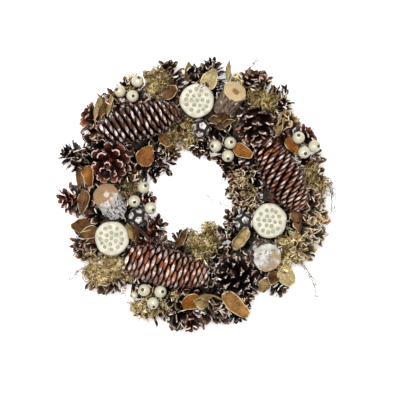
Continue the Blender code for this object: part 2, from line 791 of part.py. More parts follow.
def lay_ring(finish, laid):
    item = object_from("ring_base", ring_base(), finish, Matrix.Translation(WREATH_MIDDLE))
    points = [tuple(vertex.co + WREATH_MIDDLE) for vertex in item.data.vertices]
    laid.add(points, [tuple(face.vertices) for face in item.data.polygons])


def lay_beside_ring(rows, half_turn, make, finish, laid):
    """Lays cones that stand out from the ring's side and are pushed against it."""
    for name, (bearing, distance, height, turn, lift, *sizes) in rows.items():
        place = around(distance, math.radians(bearing), height)
        heading = bearing + half_turn + turn
        lay(name, make(name, *sizes), finish, place, turned(heading, lift), ring_pull(place), laid)


def lay_on_top(rows, make, finish, laid):
    """Lays pieces that are pushed straight down."""
    down = Vector((0.0, 0.0, -1.0))
    for name, (x, y, z, heading, lift, *sizes) in rows.items():
        lay(name, make(name, *sizes), finish, Vector((x, y, z)), turned(heading, lift), down, laid)


def lay_bunches(places, make, finish, laid):
    """Lays bunches whose parts are given in the wreath's own frame."""
    down = Vector((0.0, 0.0, -1.0))
    for name, rows in places.items():
        middle = sum((Vector(row[:3]) for row in rows), Vector()) / len(rows)
        lay(name, make(name, middle), finish, middle, Matrix.Identity(4), down, laid)


def main():
    clear_scene()
    finishes = {name: finish_material(name) for name in FINISHES}
    laid = Laid()
    lay_ring(finishes["straw"], laid)
    lay_beside_ring(RIM_CONES, 0, rim_cone, finishes["open_cone"], laid)
    lay_beside_ring(INNER_CONES, 180, inner_cone, finishes["open_cone"], laid)
    lay_on_top(LONG_CONES, long_cone, finishes["long_cone"], laid)
    lay_on_top(LOGS, log, finishes["log"], laid)
    lay_on_top(LOTUS_PODS, lotus_pod, finishes["lotus_pod"], laid)
    lay_on_top(TOP_CONES, top_cone, finishes["open_cone"], laid)
    lay_on_top(CYPRESS_CONES, cypress_cone, finishes["cypress_cone"], laid)
    leaf_rows = {name: leaves for name, (leaves, _) in LEAF_SPRAYS.items()}
    lay_bunches(leaf_rows, leaf_spray, finishes["leaf"], laid)
    lay_bunches(BERRY_SPRIGS, berry_sprig, finishes["berry"], laid)


main()
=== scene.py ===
"""Dresses the pinecone wreath: finer pieces in place of the solids, moss between them, light and camera."""

import random
from itertools import takewhile
from math import atan2, cos, degrees, hypot, pi, radians, sin, sqrt

import bpy
from mathutils import Matrix, Vector, noise
from mathutils.bvhtree import BVHTree


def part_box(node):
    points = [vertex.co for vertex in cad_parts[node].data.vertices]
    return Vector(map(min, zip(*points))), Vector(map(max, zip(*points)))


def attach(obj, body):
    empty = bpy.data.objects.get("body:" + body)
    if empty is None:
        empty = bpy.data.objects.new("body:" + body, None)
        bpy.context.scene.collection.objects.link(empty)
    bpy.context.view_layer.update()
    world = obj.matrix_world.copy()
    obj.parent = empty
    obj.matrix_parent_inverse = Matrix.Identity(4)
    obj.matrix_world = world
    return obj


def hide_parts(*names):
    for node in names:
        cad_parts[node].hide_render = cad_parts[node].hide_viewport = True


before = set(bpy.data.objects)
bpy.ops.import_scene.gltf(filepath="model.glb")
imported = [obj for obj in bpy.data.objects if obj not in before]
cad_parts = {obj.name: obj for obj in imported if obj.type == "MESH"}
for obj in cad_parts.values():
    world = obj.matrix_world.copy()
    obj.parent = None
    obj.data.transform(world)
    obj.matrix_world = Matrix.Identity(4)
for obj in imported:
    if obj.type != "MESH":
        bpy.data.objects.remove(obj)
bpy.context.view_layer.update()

# In the tables from here to the wisps, lengths are in millimetres and angles in degrees.

# Open cones, numbered in order: the tip's heading, lift, turn about its axis, length, width, model, finish
OPEN_CONES = {
    "rim_cone_{:02d}": (
        (5, 22, 20, 44, 48, "loose", "sandy"), (27, 30, 75, 48, 50, "full", "reddish"),
        (50, 22, 130, 48, 46, "loose", "frosted"), (60, 28, 190, 48, 47, "full", "brown"),
        (82, 20, 250, 50, 47, "loose", "dark"), (105, 28, 310, 46, 46, "full", "brown"),
        (122, 22, 15, 47, 50, "loose", "reddish"), (146, 26, 60, 52, 60, "full", "copper"),
        (162, 18, 110, 52, 48, "loose", "dark"), (186, 26, 170, 47, 50, "full", "reddish"),
        (208, 24, 230, 43, 50, "loose", "brown"), (226, 26, 290, 45, 50, "full", "brown"),
        (245, 22, 350, 48, 50, "loose", "sandy"), (272, 26, 40, 50, 50, "full", "reddish"),
        (290, 20, 95, 48, 50, "loose", "dark"), (310, 26, 150, 47, 52, "full", "frosted"),
        (342, 22, 210, 46, 52, "loose", "sandy"),
    ),
    "inner_cone_{:02d}": (
        (194, 30, 0, 42, 42, "small", "dark"), (230, 22, 50, 40, 41, "small", "reddish"),
        (266, 28, 100, 39, 40, "small", "frosted"), (304, 22, 150, 40, 39, "small", "brown"),
        (332, 30, 200, 42, 40, "small", "dark"), (6, 22, 250, 40, 39, "small", "reddish"),
        (36, 28, 300, 42, 41, "small", "reddish"), (75, 22, 350, 41, 41, "small", "dark"),
        (111, 28, 40, 41, 42, "small", "dark"), (155, 24, 90, 42, 42, "small", "brown"),
    ),
    "top_cone_{}": (
        (262, 54, 0, 44, 54, "flower", "ruddy"), (272, 42, 0, 46, 56, "open", "edged"),
        (150, 50, 60, 47, 57, "dense", "painted gloss"),
    ),
}

# Long cones: heading of the tip, lift, length, width, number of scales, which way their spiral winds,
# the slant of each lip, its width and its thickness
LONG_CONES = {
    "long_cone_1": (16, 2, 98, 49, 125, -1, 7, 18, 11.8),
    "long_cone_2": (-59, 2, 92, 52, 150, 1, 10, 15, 9.8),
    "long_cone_3": (-13, 2, 108, 50, 130, -1, -7, 18.2, 13.2),
}

# Lotus pods: heading and lift
LOTUS_PODS = {"lotus_pod_1": (90, 84), "lotus_pod_2": (200, 86), "lotus_pod_3": (120, 84)}

# Logs: heading and lift, length and width
LOGS = {"log_1": (59, 54, 42, 31), "log_2": (120, 62, 42, 34), "log_3": (-40, 74, 28, 38)}

# Berry sprigs: where the stems meet, then each berry's middle and radius
BERRY = 8
BUD = 5
BERRY_SPRIGS = {
    "berry_sprig_1": ((-83, 128, 55), (-96, 134, 62, BERRY), (-73, 147, 62, BERRY), (-79, 127, 70, BERRY)),
    "berry_sprig_2": ((136, 62, 57), (135, 73, 70, BERRY), (156, 62, 62, BERRY), (142, 54, 72, BERRY)),
    "berry_sprig_3": ((44, 65, 55), (29, 63, 62, BERRY), (48, 67, 68, BERRY), (45, 50, 64, BERRY)),
    "berry_sprig_4": ((-80, -3, 50), (-65, 9, 64, BERRY), (-77, -9, 68, BERRY), (-56, -18, 62, BERRY)),
    "berry_sprig_5": (
        (-57, -125, 57),
        (-64, -121.5, 70, BERRY),
        (-43, -123.5, 71, BERRY),
        (-53, -139, 62, BERRY),
        (-78, -129, 58, BUD),
    ),
}

# Leaf sprays: where the stalks meet, then leaves: middle, heading, lift, roll, length, width, bend, finish
LEAF_SPRAYS = {
    "leaves_northwest_inner": (
        (-58, 62, 55),
        (-63, 50, 66, 60, 12, 0, 28, 26, 20, "ochre"),
        (-37, 71, 56, -60, 24, 0, 20, 18, 30, "ochre"),
    ),
    "leaves_northwest_rim": (
        (-115, 126, 54),
        (-127, 105, 62, 262, 8, -84, 34, 16, 44, "khaki"),
        (-120, 106, 64, 260, 10, -82, 34, 16, 46, "brown"),
        (-111, 109, 66, 262, 12, -80, 32, 16, 44, "khaki"),
        (-103, 120, 60, 135, 40, 70, 26, 20, 20, "brown"),
    ),
    "leaves_west": (
        (-140, 8, 52),
        (-149, 25, 58, 265, 15, -35, 26, 18, 30, "brown"),
        (-134, 24, 62, 285, 20, 35, 28, 20, 30, "ochre"),
        (-142, -11, 60, 262, 15, 20, 31, 18, 30, "brown"),
    ),
    "leaves_southwest": (
        (-130, -58, 54),
        (-146, -40, 58, 190, 34, 20, 30, 20, 40, "brown"),
        (-137, -48, 62, 200, 30, 0, 28, 18, 30, "brown"),
        (-134, -67, 58, 230, 34, 0, 26, 18, 30, "brown"),
    ),
    "leaves_southwest_inner": (
        (-56, -62, 50),
        (-84, -48, 60, 285, 15, 60, 24, 18, 44, "khaki"),
        (-76, -50, 58, 280, 12, 66, 26, 18, 50, "brown"),
        (-24, -55, 54, 55, 25, 62, 34, 18, 30, "brown"),
    ),
    "leaves_south": (
        (24, -136, 54),
        (-3, -140, 62, 200, 24, 0, 26, 22, 30, "ochre"),
        (19, -129, 66, 0, 6, 58, 36, 26, 70, "khaki"),
        (54, -144, 64, 315, 12, -15, 42, 22, 30, "tan"),
    ),
    "leaves_southeast_inner": (
        (50, -74, 50),
        (58, -55, 58, 55, 12, 30, 30, 17, 36, "khaki"),
        (64, -62, 57, 50, 12, -40, 30, 17, 36, "pale"),
    ),
    "leaves_southeast": (
        (107, -102, 54),
        (104, -108, 62, 250, 40, 0, 22, 18, 20, "brown"),
        (122, -106, 60, 300, 26, 0, 26, 24, 20, "pale"),
        (91, -118, 60, 230, 30, 0, 20, 16, 20, "khaki"),
    ),
    "leaf_east": (
        (132, -12, 52),
        (134, -31, 62, 275, 12, 64, 32, 20, 50, "brown"),
    ),
    "leaves_northeast": (
        (118, 88, 55),
        (126, 61, 66, 315, 14, -16, 28, 24, 16, "ochre"),
        (114, 91, 64, 251, 10, 68, 36, 20, 30, "khaki"),
        (93, 119, 62, 10, 8, -40, 36, 17, 30, "brown"),
    ),
    "leaves_north": (
        (8, 146, 53),
        (-30, 131, 60, 20, 22, 0, 22, 18, 10, "brown"),
        (-6, 156, 62, 100, 25, 30, 26, 20, 30, "khaki"),
        (22, 146, 74, 60, 22, 0, 28, 23, 14, "pale"),
        (43, 158, 60, 85, 15, 80, 28, 18, 36, "pale"),
    ),
    "leaves_north_inner": (
        (43, 84, 51),
        (32, 104, 62, 12, 10, 66, 28, 20, 44, "brown"),
        (38, 95, 58, 20, 10, 66, 26, 20, 40, "brown"),
        (64, 55, 56, 330, 24, 0, 28, 18, 20, "ochre"),
    ),
}

# Moss cushions: x, y, half length, half width, heading, roughly how many strands, which finish
MOSS = (
    (-51, 145, 23, 20, 20, 560, "olive"),
    (-17, 81, 21, 19, 60, 520, "olive"),
    (88, 127, 18, 15, -20, 380, "olive"),
    (-79, 10, 21, 22, 90, 480, "dark"),
    (-112, -93, 36, 18, -10, 800, "pale"),
    (-126, -108, 22, 12, -38, 420, "pale"),
    (-52, -140, 42, 20, -6, 900, "pale"),
    (12, -60, 23, 21, 60, 600, "olive"),
    (125, -75, 27, 22, 50, 680, "pale"),
    (157, 16, 14, 26, 0, 520, "olive"),
    (73, -3, 16, 13, 0, 55, "pale"),
    (60, 19, 15, 13, 0, 45, "pale"),
    (-78, 148, 14, 8, 30, 120, "pale"),
    (52, 150, 14, 8, -20, 110, "pale"),
)

# Broken scales: x, y, half size of the patch, how many, length, heading from straight out, stray, finish
CHIP_PATCHES = (
    (74, -4, 14, 36, 17, 180, 50, "brown"),
    (64, 20, 12, 30, 16, 180, 50, "brown"),
    (147, -22, 12, 40, 22, 0, 28, "sandy"),
    (144, -46, 12, 40, 22, 0, 28, "sandy"),
    (134, -68, 12, 30, 20, 0, 28, "sandy"),
    (150, 0, 10, 26, 20, 0, 28, "brown"),
    (112, 128, 12, 26, 14, 0, 60, "frosted"),
    (-115, -105, 14, 40, 18, 0, 40, "brown"),
    (-100, 112, 10, 20, 20, 0, 30, "brown"),
    (-122, 70, 10, 20, 20, 0, 30, "dark"),
    (-138, 44, 10, 30, 20, 0, 30, "dark"),
    (26, -140, 12, 50, 26, 0, 30, "dark"),
    (62, -132, 9, 34, 16, 0, 30, "brown"),
    (116, 92, 10, 30, 18, 0, 40, "sandy"),
    (-132, -70, 12, 30, 18, 0, 30, "brown"),
    (-40, -146, 16, 30, 14, 0, 60, "sandy"),
    (10, 146, 14, 30, 20, 0, 30, "dark"),
    (-22, -143, 12, 34, 24, 0, 30, "dark"),
    (80, 140, 14, 30, 18, 0, 30, "brown"),
    (150, 40, 10, 26, 20, 0, 30, "brown"),
    (69, 8, 14, 26, 17, 180, 50, "sandy"),
    (50, -50, 10, 30, 17, 180, 50, "dark"),
    (54, 40, 10, 30, 16, 180, 50, "dark"),
    (-45, 45, 10, 30, 16, 180, 50, "dark"),
    (20, 68, 10, 30, 16, 180, 50, "dark"),
)

# Stray wisps: points that each one passes near, and how many strands
WISPS = (
    (((160, 25), (176, 20), (182, 4), (183, -28)), 12),
    (((134, -82), (150, -101), (160, -118), (162, -138)), 6),
    (((-130, -96), (-150, -100), (-162, -112)), 7),
    (((66, 156), (74, 168), (83, 176)), 6),
    (((60, -18), (40, -12), (24, -6), (16, 8)), 3),
)

# Round a cone, each scale stands this far on from the last
GOLDEN_ANGLE = radians(137.508)

# The core of an open cone one unit long and wide: radius at its foot and at its tip, length
CORE_FOOT = 0.17
CORE_TIP = 0.06
CORE_LENGTH = 0.86

# Kinds of scale, one unit long: width and lift at each row from root to tip, thickness, thickening of the tip
SCALES = {
    "plain": ((0.42, 0.48, 0.62, 0.82, 0.98, 1.0, 0.74), (0, 0, 0.01, 0.02, 0.0, -0.05, -0.13), 0.09, 1.7),
    "broad": ((0.4, 0.5, 0.7, 0.9, 1.0, 1.0, 0.8), (0, -0.02, -0.03, -0.02, 0.02, 0.06, 0.08), 0.08, 1.5),
    "pointed": ((0.36, 0.46, 0.62, 0.84, 1.0, 0.8, 0.26), (0, -0.01, -0.01, 0, 0.02, 0.03, 0), 0.09, 1.3),
    "slim": ((0.42, 0.52, 0.7, 0.9, 1.0, 0.9, 0.56), (0, 0, 0.01, 0.02, 0.01, -0.02, -0.07), 0.09, 1.5),
}
LIPPED_SCALE = ((0.45, 0.62, 0.82, 0.96, 1.0, 0.98), (0, 0, 0, 0, 0, 0), 0.1, 1.0)

# How each open cone model is made: kind of scale, number of scales, their width as a share of the cone's,
# the lean of the lowest and of the highest scales, seed
CONE_MODELS = {
    "loose": ("slim", 46, 0.165, -10, 66, 3),
    "full": ("plain", 48, 0.19, -10, 68, 7),
    "small": ("plain", 36, 0.215, -8, 66, 11),
    "flower": ("broad", 23, 0.25, -8, 68, 19),
    "open": ("pointed", 30, 0.3, 14, 76, 29),
    "dense": ("pointed", 38, 0.22, 4, 70, 23),
}

# Long cones: scales round the foot, then how far a scale reaches and how deep the core lies, in metres
BASE_SCALES = 9
LIP_REACH = 0.0115
CORE_DEPTH = 0.0095

# A lotus pod, in metres: radius and height of each ring of its outline from the neck up, the radius of each
# ring of pits with their number, and the radius and height of what cuts a pit and of the seed in it
POD_RINGS = (
    (0.0042, -0.018), (0.008, -0.008), (0.015, 0.001), (0.0205, 0.008), (0.0223, 0.0115),
    (0.0225, 0.014), (0.0219, 0.016), (0.0206, 0.0174), (0.0188, 0.018),
)
PIT_RINGS = ((0.0, 1), (0.0072, 6), (0.0145, 12))
PIT_RADIUS = 0.0029
PIT_HEIGHT = 0.0192
SEED_RADIUS = 0.0016
SEED_HEIGHT = 0.0169

# Kinds of leaf, one unit long and wide: width and forward shift at each row, depth of the waves,
# then how strongly all leaves bow, and how far back from the middle the stalk meets a leaf
LEAF_SHAPES = {
    "oval": ((0.3, 0.72, 0.94, 1.0, 0.94, 0.74, 0.42, 0.06), (0, 0, 0, 0, 0, 0.01, 0.04, 0.1), 0.22),
    "blunt": ((0.34, 0.8, 0.98, 1.0, 1.0, 0.9, 0.72, 0.4), (0, 0, 0, 0, 0, 0.01, 0.03, 0.08), 0.3),
}
LEAF_BOW = 0.9
STALK_END = 0.36
LEAF_RIM = (0.66, 0.56, 0.36)

# The straw ring's radius, the height of its middle and the radius of its tube, in metres
RING_RADIUS = 0.112
RING_HEIGHT = 0.018
RING_TUBE = 0.019

# Fine stuff, in metres: the highest spot that moss covers, the lowest at which loose stuff starts,
# the radii of strands, and the radius and sag of stems and stalks
MOSS_TOP = 0.068
LOWEST_START = 0.03
MOSS_STRAND = 0.00045
LITTER_STRAND = 0.0007
TWINE = 0.0006
WISP = 0.00032
BERRY_STEM = (0.0011, 0.0008)
LEAF_STALK = (0.0008, 0.0006)
LEAF_THICKNESS = 0.0009

# How many strands of litter, turns of twine with steps in each, and loose scales all round the ring;
# the loose scales' finishes, and the mix of them all round
LITTER_STRANDS = 1900
TWINE_TURNS = 44
TWINE_STEPS = 22
CHIPS = 620
CHIP_KINDS = ("dark", "brown", "reddish", "frosted", "sandy")
CHIP_MIX = ("dark", "brown", "reddish", "dark", "frosted")

# Seeds of the random draws; each moss cushion adds its own number
SEEDS = {"moss": 100, "litter painted shade": 77, "loose scales": 41, "wisps": 5}

# Open cones' finishes: colour towards the root and at the tip, the rim's colour, how much of it is worn away,
# and, where they differ from the usual, how far along the rim and the tip's colour begin
FROST = (0.8, 0.69, 0.56)
CONE_LOOKS = {
    "brown": ((0.038, 0.016, 0.009), (0.23, 0.113, 0.062), FROST, 0.41, 0.945),
    "dark": ((0.012, 0.006, 0.005), (0.135, 0.08, 0.055), FROST, 0.43, 0.945, 0.82),
    "reddish": ((0.042, 0.012, 0.007), (0.235, 0.078, 0.043), (0.84, 0.66, 0.56), 0.46, 0.945),
    "copper": ((0.085, 0.026, 0.012), (0.42, 0.165, 0.075), FROST, 0.46, 0.945),
    "frosted": ((0.032, 0.016, 0.01), (0.29, 0.18, 0.115), (0.9, 0.8, 0.66), 0.38),
    "sandy": ((0.074, 0.045, 0.023), (0.42, 0.305, 0.185), (0.78, 0.69, 0.53), 0.42),
    "ruddy": ((0.085, 0.021, 0.012), (0.25, 0.068, 0.04), (0.88, 0.74, 0.68), 0.16, 0.974),
    "edged": ((0.042, 0.017, 0.011), (0.23, 0.115, 0.076), (0.78, 0.66, 0.58), 0.45, 0.958, 0.8),
    # The glossy look's pale rims are partly frost and partly painted highlights in place of gloss.
    "painted gloss": ((0.02, 0.01, 0.008), (0.34, 0.245, 0.195), (0.92, 0.87, 0.83), 0.5, 0.955, 0.84),
}

# Long cones' finishes: name, colour under the lip and on it, where frost and where orange begin
LONG_CONE_LOOKS = {
    "long_cone_1": ("chocolate long cone", (0.026, 0.007, 0.003), (0.118, 0.052, 0.033), 0.42, 0.68),
    "long_cone_2": ("chestnut long cone", (0.046, 0.012, 0.005), (0.225, 0.09, 0.05), 0.42, 0.56),
    "long_cone_3": ("rusty long cone", (0.055, 0.013, 0.005), (0.235, 0.096, 0.058), 0.4, 0.5),
}

# Leaves' finishes: the dark and the light of their blotches
LEAF_LOOKS = {
    "ochre": ((0.11, 0.036, 0.006), (0.28, 0.105, 0.018)),
    "tan": ((0.16, 0.075, 0.02), (0.36, 0.185, 0.056)),
    "khaki": ((0.13, 0.078, 0.024), (0.33, 0.235, 0.1)),
    "brown": ((0.046, 0.021, 0.008), (0.155, 0.072, 0.025)),
    "pale": ((0.24, 0.175, 0.075), (0.5, 0.4, 0.205)),
}

# Moss finishes, from dark to light
MOSS_LOOKS = {
    "olive": ((0.05, 0.033, 0.01), (0.31, 0.23, 0.075), (0.72, 0.59, 0.29)),
    "pale": ((0.09, 0.056, 0.018), (0.53, 0.39, 0.145), (0.95, 0.83, 0.5)),
    "dark": ((0.025, 0.017, 0.006), (0.13, 0.09, 0.032), (0.4, 0.31, 0.14)),
}

# Bark: name, colour, where the silver begins
BARKS = {
    "log_1": ("brown bark", (0.18, 0.125, 0.088), 0.58),
    "log_2": ("silvered bark", (0.13, 0.095, 0.078), 0.35),
    "log_3": ("grey bark", (0.11, 0.07, 0.05), 0.5),
}

# Sawn faces: name, wood, pith, size of the paint's pattern, where paint begins, and the point from which it
# thickens, in metres, with the direction
EVENLY = ((0.0, 0.0, 0.0), (0.0, 0.0, 0.0))
SAWN_FACES = {
    "log_1": ("tan sawn face", (0.5, 0.37, 0.2), (0.22, 0.115, 0.045), 150.0, 0.85, EVENLY),
    "log_2": (
        "pale sawn face", (0.3, 0.182, 0.094), (0.52, 0.45, 0.39), 110.0, 0.585,
        ((-0.108, 0.0, 0.0), (0.6, -0.8, 0.0)),
    ),
    "log_3": (
        "painted sawn face", (0.36, 0.25, 0.145), (0.2, 0.12, 0.07), 80.0, 0.46,
        ((0.107, -0.082, 0.0), (-0.22, 0.4, 0.0)),
    ),
}

# Mottled finishes: roughness, the pattern's scale and detail, its tones from dark to light, and, where they
# differ from the usual, the depth of the relief, the weight of a clear coat, the relief's strength and where
# along the pattern the tones lie
MOTTLED = {
    # The dark crack's near black is painted shade: in the cracks between a cypress cone's plates and on the
    # core deep inside each long cone.
    "crack painted shade": (0.9, (300.0, 5.0), ((0.004, 0.003, 0.002), (0.016, 0.01, 0.007))),
    "lotus pit": (0.7, (200.0, 5.0), ((0.3, 0.3, 0.22), (0.44, 0.43, 0.33))),
    "lotus seed": (0.6, (400.0, 3.0), ((0.25, 0.26, 0.18), (0.43, 0.43, 0.32)), 0.0),
    "berry": (0.28, (130.0, 3.0), ((0.455, 0.42, 0.29), (0.54, 0.513, 0.39)), 0.0, 0.3),
    "calyx": (0.7, (900.0, 5.0), ((0.02, 0.016, 0.012), (0.07, 0.055, 0.04))),
    "stalk": (0.8, (300.0, 5.0), ((0.018, 0.011, 0.005), (0.06, 0.037, 0.017))),
    # The litter's near black is painted shade in the gaps between the pieces.
    "litter painted shade": (0.9, (260.0, 5.0), ((0.005, 0.003, 0.002), (0.03, 0.017, 0.009))),
    "twine": (0.85, (700.0, 5.0), ((0.05, 0.033, 0.014), (0.16, 0.11, 0.05))),
    # The cypress plate's palest tone is a painted highlight.
    "cypress plate with painted highlights": (
        0.24, (170.0, 4.0), ((0.045, 0.03, 0.024), (0.2, 0.17, 0.15), (0.66, 0.63, 0.61)),
        0.0008, 0.0, 0.4, (0.34, 0.45, 0.57),
    ),
    # The dark straw is partly the straw's own brown and partly painted shade that darkens the ring in the
    # gaps.
    "straw with painted shade": (
        0.9, (320.0, 6.0, 0.75), ((0.018, 0.01, 0.005), (0.09, 0.055, 0.025), (0.2, 0.14, 0.06)),
        0.002, 0.0, 0.9, (0.35, 0.6, 0.75),
    ),
}

# Soft lamps above the wreath: place, width and power. Floor, world light and camera follow.
LAMPS = {"overhead": ((-0.08, 0.12, 2.4), 1.0, 60.0), "key": ((-0.24, 0.32, 1.9), 0.25, 18.5)}
FLOOR_SIZE = 6.0
FLOOR_HEIGHT = -0.0005
FLOOR_GLOW = 0.35
SKY_LIGHT = 0.13
CAMERA_PLACE = (0.0078, -0.0072, 2.2)
LENS = 148.0
SENSOR = 36.0
WHITE = (1.0, 1.0, 1.0)


# Selecting and placing


def metres(*lengths):
    """Millimetres as metres."""
    return [length / 1000 for length in lengths]


def everywhere(place_or_face):
    return True


def pick(*items):
    """Selects these objects alone, and makes the first one active."""
    bpy.ops.object.select_all(action="DESELECT")
    for item in items:
        item.select_set(True)
    bpy.context.view_layer.objects.active = items[0]


def choose(item, wanted, kind="VERT"):
    """Opens item for editing with only some vertices selected, tested by their place, or only some faces."""
    pick(item)
    bpy.ops.object.mode_set(mode="EDIT")
    bpy.ops.mesh.select_mode(type=kind)
    bpy.ops.mesh.select_all(action="DESELECT")
    bpy.ops.object.mode_set(mode="OBJECT")
    if kind == "VERT":
        for vertex in item.data.vertices:
            vertex.select = wanted(vertex.co)
    else:
        for face in item.data.polygons:
            face.select = wanted(face)
    bpy.ops.object.mode_set(mode="EDIT")


def done():
    bpy.ops.object.mode_set(mode="OBJECT")


def move_where(item, wanted, step):
    choose(item, wanted)
    bpy.ops.transform.translate(value=step)
    done()


def resize_where(item, wanted, factors, centre):
    choose(item, wanted)
    bpy.ops.transform.resize(value=factors, center_override=centre)
    done()


def smooth(item, limit):
    """Shades item smooth, apart from edges sharper than limit, in degrees."""
    pick(item)
    bpy.ops.object.shade_smooth_by_angle(angle=radians(limit))


def settled(item):
    """Puts an object's place, turn and size into its mesh."""
    pick(item)
    bpy.ops.object.transform_apply(location=True, rotation=True, scale=True)
    return item


def copy_at(model, name, place):
    twin = model.copy()
    twin.data = model.data.copy()
    twin.name = name
    bpy.context.scene.collection.objects.link(twin)
    twin.hide_render = False
    twin.matrix_world = place
    return twin


def join_all(name, items):
    pick(*items)
    bpy.ops.object.join()
    whole = bpy.context.object
    whole.name = name
    return settled(whole)


def add_modifier(item, kind, **settings):
    pick(item)
    modifier = item.modifiers.new(kind.title(), kind)
    for key, value in settings.items():
        setattr(modifier, key, value)
    bpy.ops.object.modifier_apply(modifier=modifier.name)


def new_curve(name, radius, resolution):
    curve = bpy.data.curves.new(name, "CURVE")
    curve.dimensions = "3D"
    curve.bevel_depth = radius
    curve.bevel_resolution = resolution
    return curve


def made_mesh(name, curve):
    item = bpy.data.objects.new(name, curve)
    bpy.context.scene.collection.objects.link(item)
    pick(item)
    bpy.ops.object.convert(target="MESH")
    return bpy.context.object


def turned(heading, lift, roll=0.0):
    """The turn that points +Z along a heading, raised from level by lift, after a roll about +Z."""
    return (
        Matrix.Rotation(radians(heading), 4, "Z")
        @ Matrix.Rotation(radians(90 - lift), 4, "Y")
        @ Matrix.Rotation(radians(roll), 4, "Z")
    )


def box_of(item):
    corners = [vertex.co for vertex in item.data.vertices]
    return [Vector([end(corner[i] for corner in corners) for i in range(3)]) for end in (min, max)]


def stand_for(item, node_name):
    """Moves a finished piece so that its box has the node's middle, and lets it stand for the node.

    Returns how far it was moved.
    """
    low, high = (Vector(corner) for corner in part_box(node_name))
    own_low, own_high = box_of(item)
    shift = (low + high) / 2 - (own_low + own_high) / 2
    item.location = shift
    settled(item)
    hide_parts(node_name)
    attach(item, "root")
    return shift


def cover(item, *materials):
    """Gives item these materials alone."""
    item.data.materials.clear()
    for material in materials:
        item.data.materials.append(material)


def put_away(*models):
    for model in models:
        bpy.data.objects.remove(model, do_unlink=True)


# Materials


def toned(colour, share):
    return tuple(share * part for part in colour)


class Finish:
    """A material in the making. Most of its methods add a node and give back what comes out of it."""

    def __init__(self, name, roughness, shine=0.5):
        self.material = bpy.data.materials.new(name)
        self.material.use_nodes = True
        self.tree = self.material.node_tree
        self.shader = self.tree.nodes["Principled BSDF"]
        self.put("Roughness", roughness)
        self.put("Specular IOR Level", shine)
        places = self.add("TexCoord", {})
        self.here = places["Object"]
        self.flat_map = places["UV"]

    def feed(self, socket, value):
        if isinstance(value, bpy.types.NodeSocket):
            self.tree.links.new(value, socket)
        elif socket.type == "RGBA" and len(value) == 3:
            socket.default_value = (*value, 1.0)
        else:
            socket.default_value = value

    def put(self, socket_name, value):
        self.feed(self.shader.inputs[socket_name], value)

    def add(self, kind, inputs, **settings):
        node = self.tree.nodes.new("ShaderNode" + kind)
        for key, value in settings.items():
            setattr(node, key, value)
        for key, value in inputs.items():
            self.feed(node.inputs[key], value)
        return node.outputs

    def speckle(self, scale, detail=4.0, roughness=0.6, place=None):
        inputs = {"Vector": place or self.here, "Scale": scale, "Detail": detail, "Roughness": roughness}
        return self.add("TexNoise", inputs)["Fac"]

    def between(self, value, low, high):
        """0 below low, 1 above high, and a smooth rise between."""
        inputs = {"Value": value, "From Min": low, "From Max": high}
        return self.add("MapRange", inputs, interpolation_type="SMOOTHSTEP")["Result"]

    def maths(self, operation, first, second=0.0):
        return self.add("Math", {0: first, 1: second}, operation=operation)[0]

    def times(self, first, second):
        return self.maths("MULTIPLY", first, second)

    def plus(self, first, second):
        return self.maths("ADD", first, second)

    def minus(self, first, second):
        return self.maths("SUBTRACT", first, second)

    def blend(self, share, first, second, way="MIX"):
        return self.add("Mix", {0: share, 6: first, 7: second}, data_type="RGBA", blend_type=way)[2]

    def shades(self, value, *stops):
        """Colours along a value from 0 to 1."""
        colour = self.add("ValToRGB", {0: value})["Color"]
        line = colour.node.color_ramp.elements
        while len(line) < len(stops):
            line.new(0.5)
        for element, (place, tone) in zip(line, stops):
            element.position = place
            element.color = (*tone, 1.0)
        return colour

    def sheet(self):
        """From a scale's or leaf's own map: how far along it is, and how near its outline."""
        split = self.add("SeparateXYZ", {0: self.flat_map})
        doubled = self.times(self.minus(split["X"], 0.5), 2.0)
        return split["Y"], self.maths("ABSOLUTE", doubled)

    def painted(self, colour, height=None, strength=0.5, depth=0.0):
        """The finished material, in this colour and with a relief that follows height."""
        self.put("Base Color", colour)
        if depth:
            inputs = {"Height": height, "Strength": strength, "Distance": depth}
            self.put("Normal", self.add("Bump", inputs)["Normal"])
        return self.material


def cone_finish(name, deep, warm, rim, rim_share, rim_from=0.93, tip_from=0.74):
    """Dry woody scales: near black at the root, which is painted shade where the scales overlap, warmer
    towards the end, with a pale frosted rim.
    """
    cone = Finish(name, 0.45, 0.14)
    along, across = cone.sheet()
    grain = cone.speckle(700.0, 3.0)
    # Below tip_from the colour falls to near black at the root: painted shade where the scales overlap.
    lower = (0.65 * tip_from, toned(deep, 0.16))
    body = cone.shades(along, (0.0, toned(deep, 0.03)), lower, (tip_from, deep), (0.98, warm))
    patches = ((0.36, (0.26, 0.24, 0.24)), (0.5, (0.96, 0.96, 0.96)), (0.64, (1.8, 1.6, 1.4)))
    body = cone.blend(1.0, body, cone.shades(cone.speckle(70.0, 3.0), *patches), "MULTIPLY")
    edge = cone.maths("MAXIMUM", cone.times(across, cone.between(along, 0.45, 0.8)), along)
    ragged = cone.plus(edge, cone.times(cone.minus(grain, 0.5), 0.1))
    worn = cone.between(cone.speckle(110.0, 2.0), rim_share, rim_share + 0.16)
    body = cone.blend(cone.times(cone.between(ragged, rim_from, rim_from + 0.05), worn), body, rim)
    shadow = cone.shades(grain, (0.3, (0.35,) * 3), (0.7, (1.0,) * 3))
    return cone.painted(cone.blend(0.35, body, shadow, "MULTIPLY"), grain, 0.25, 0.0006)


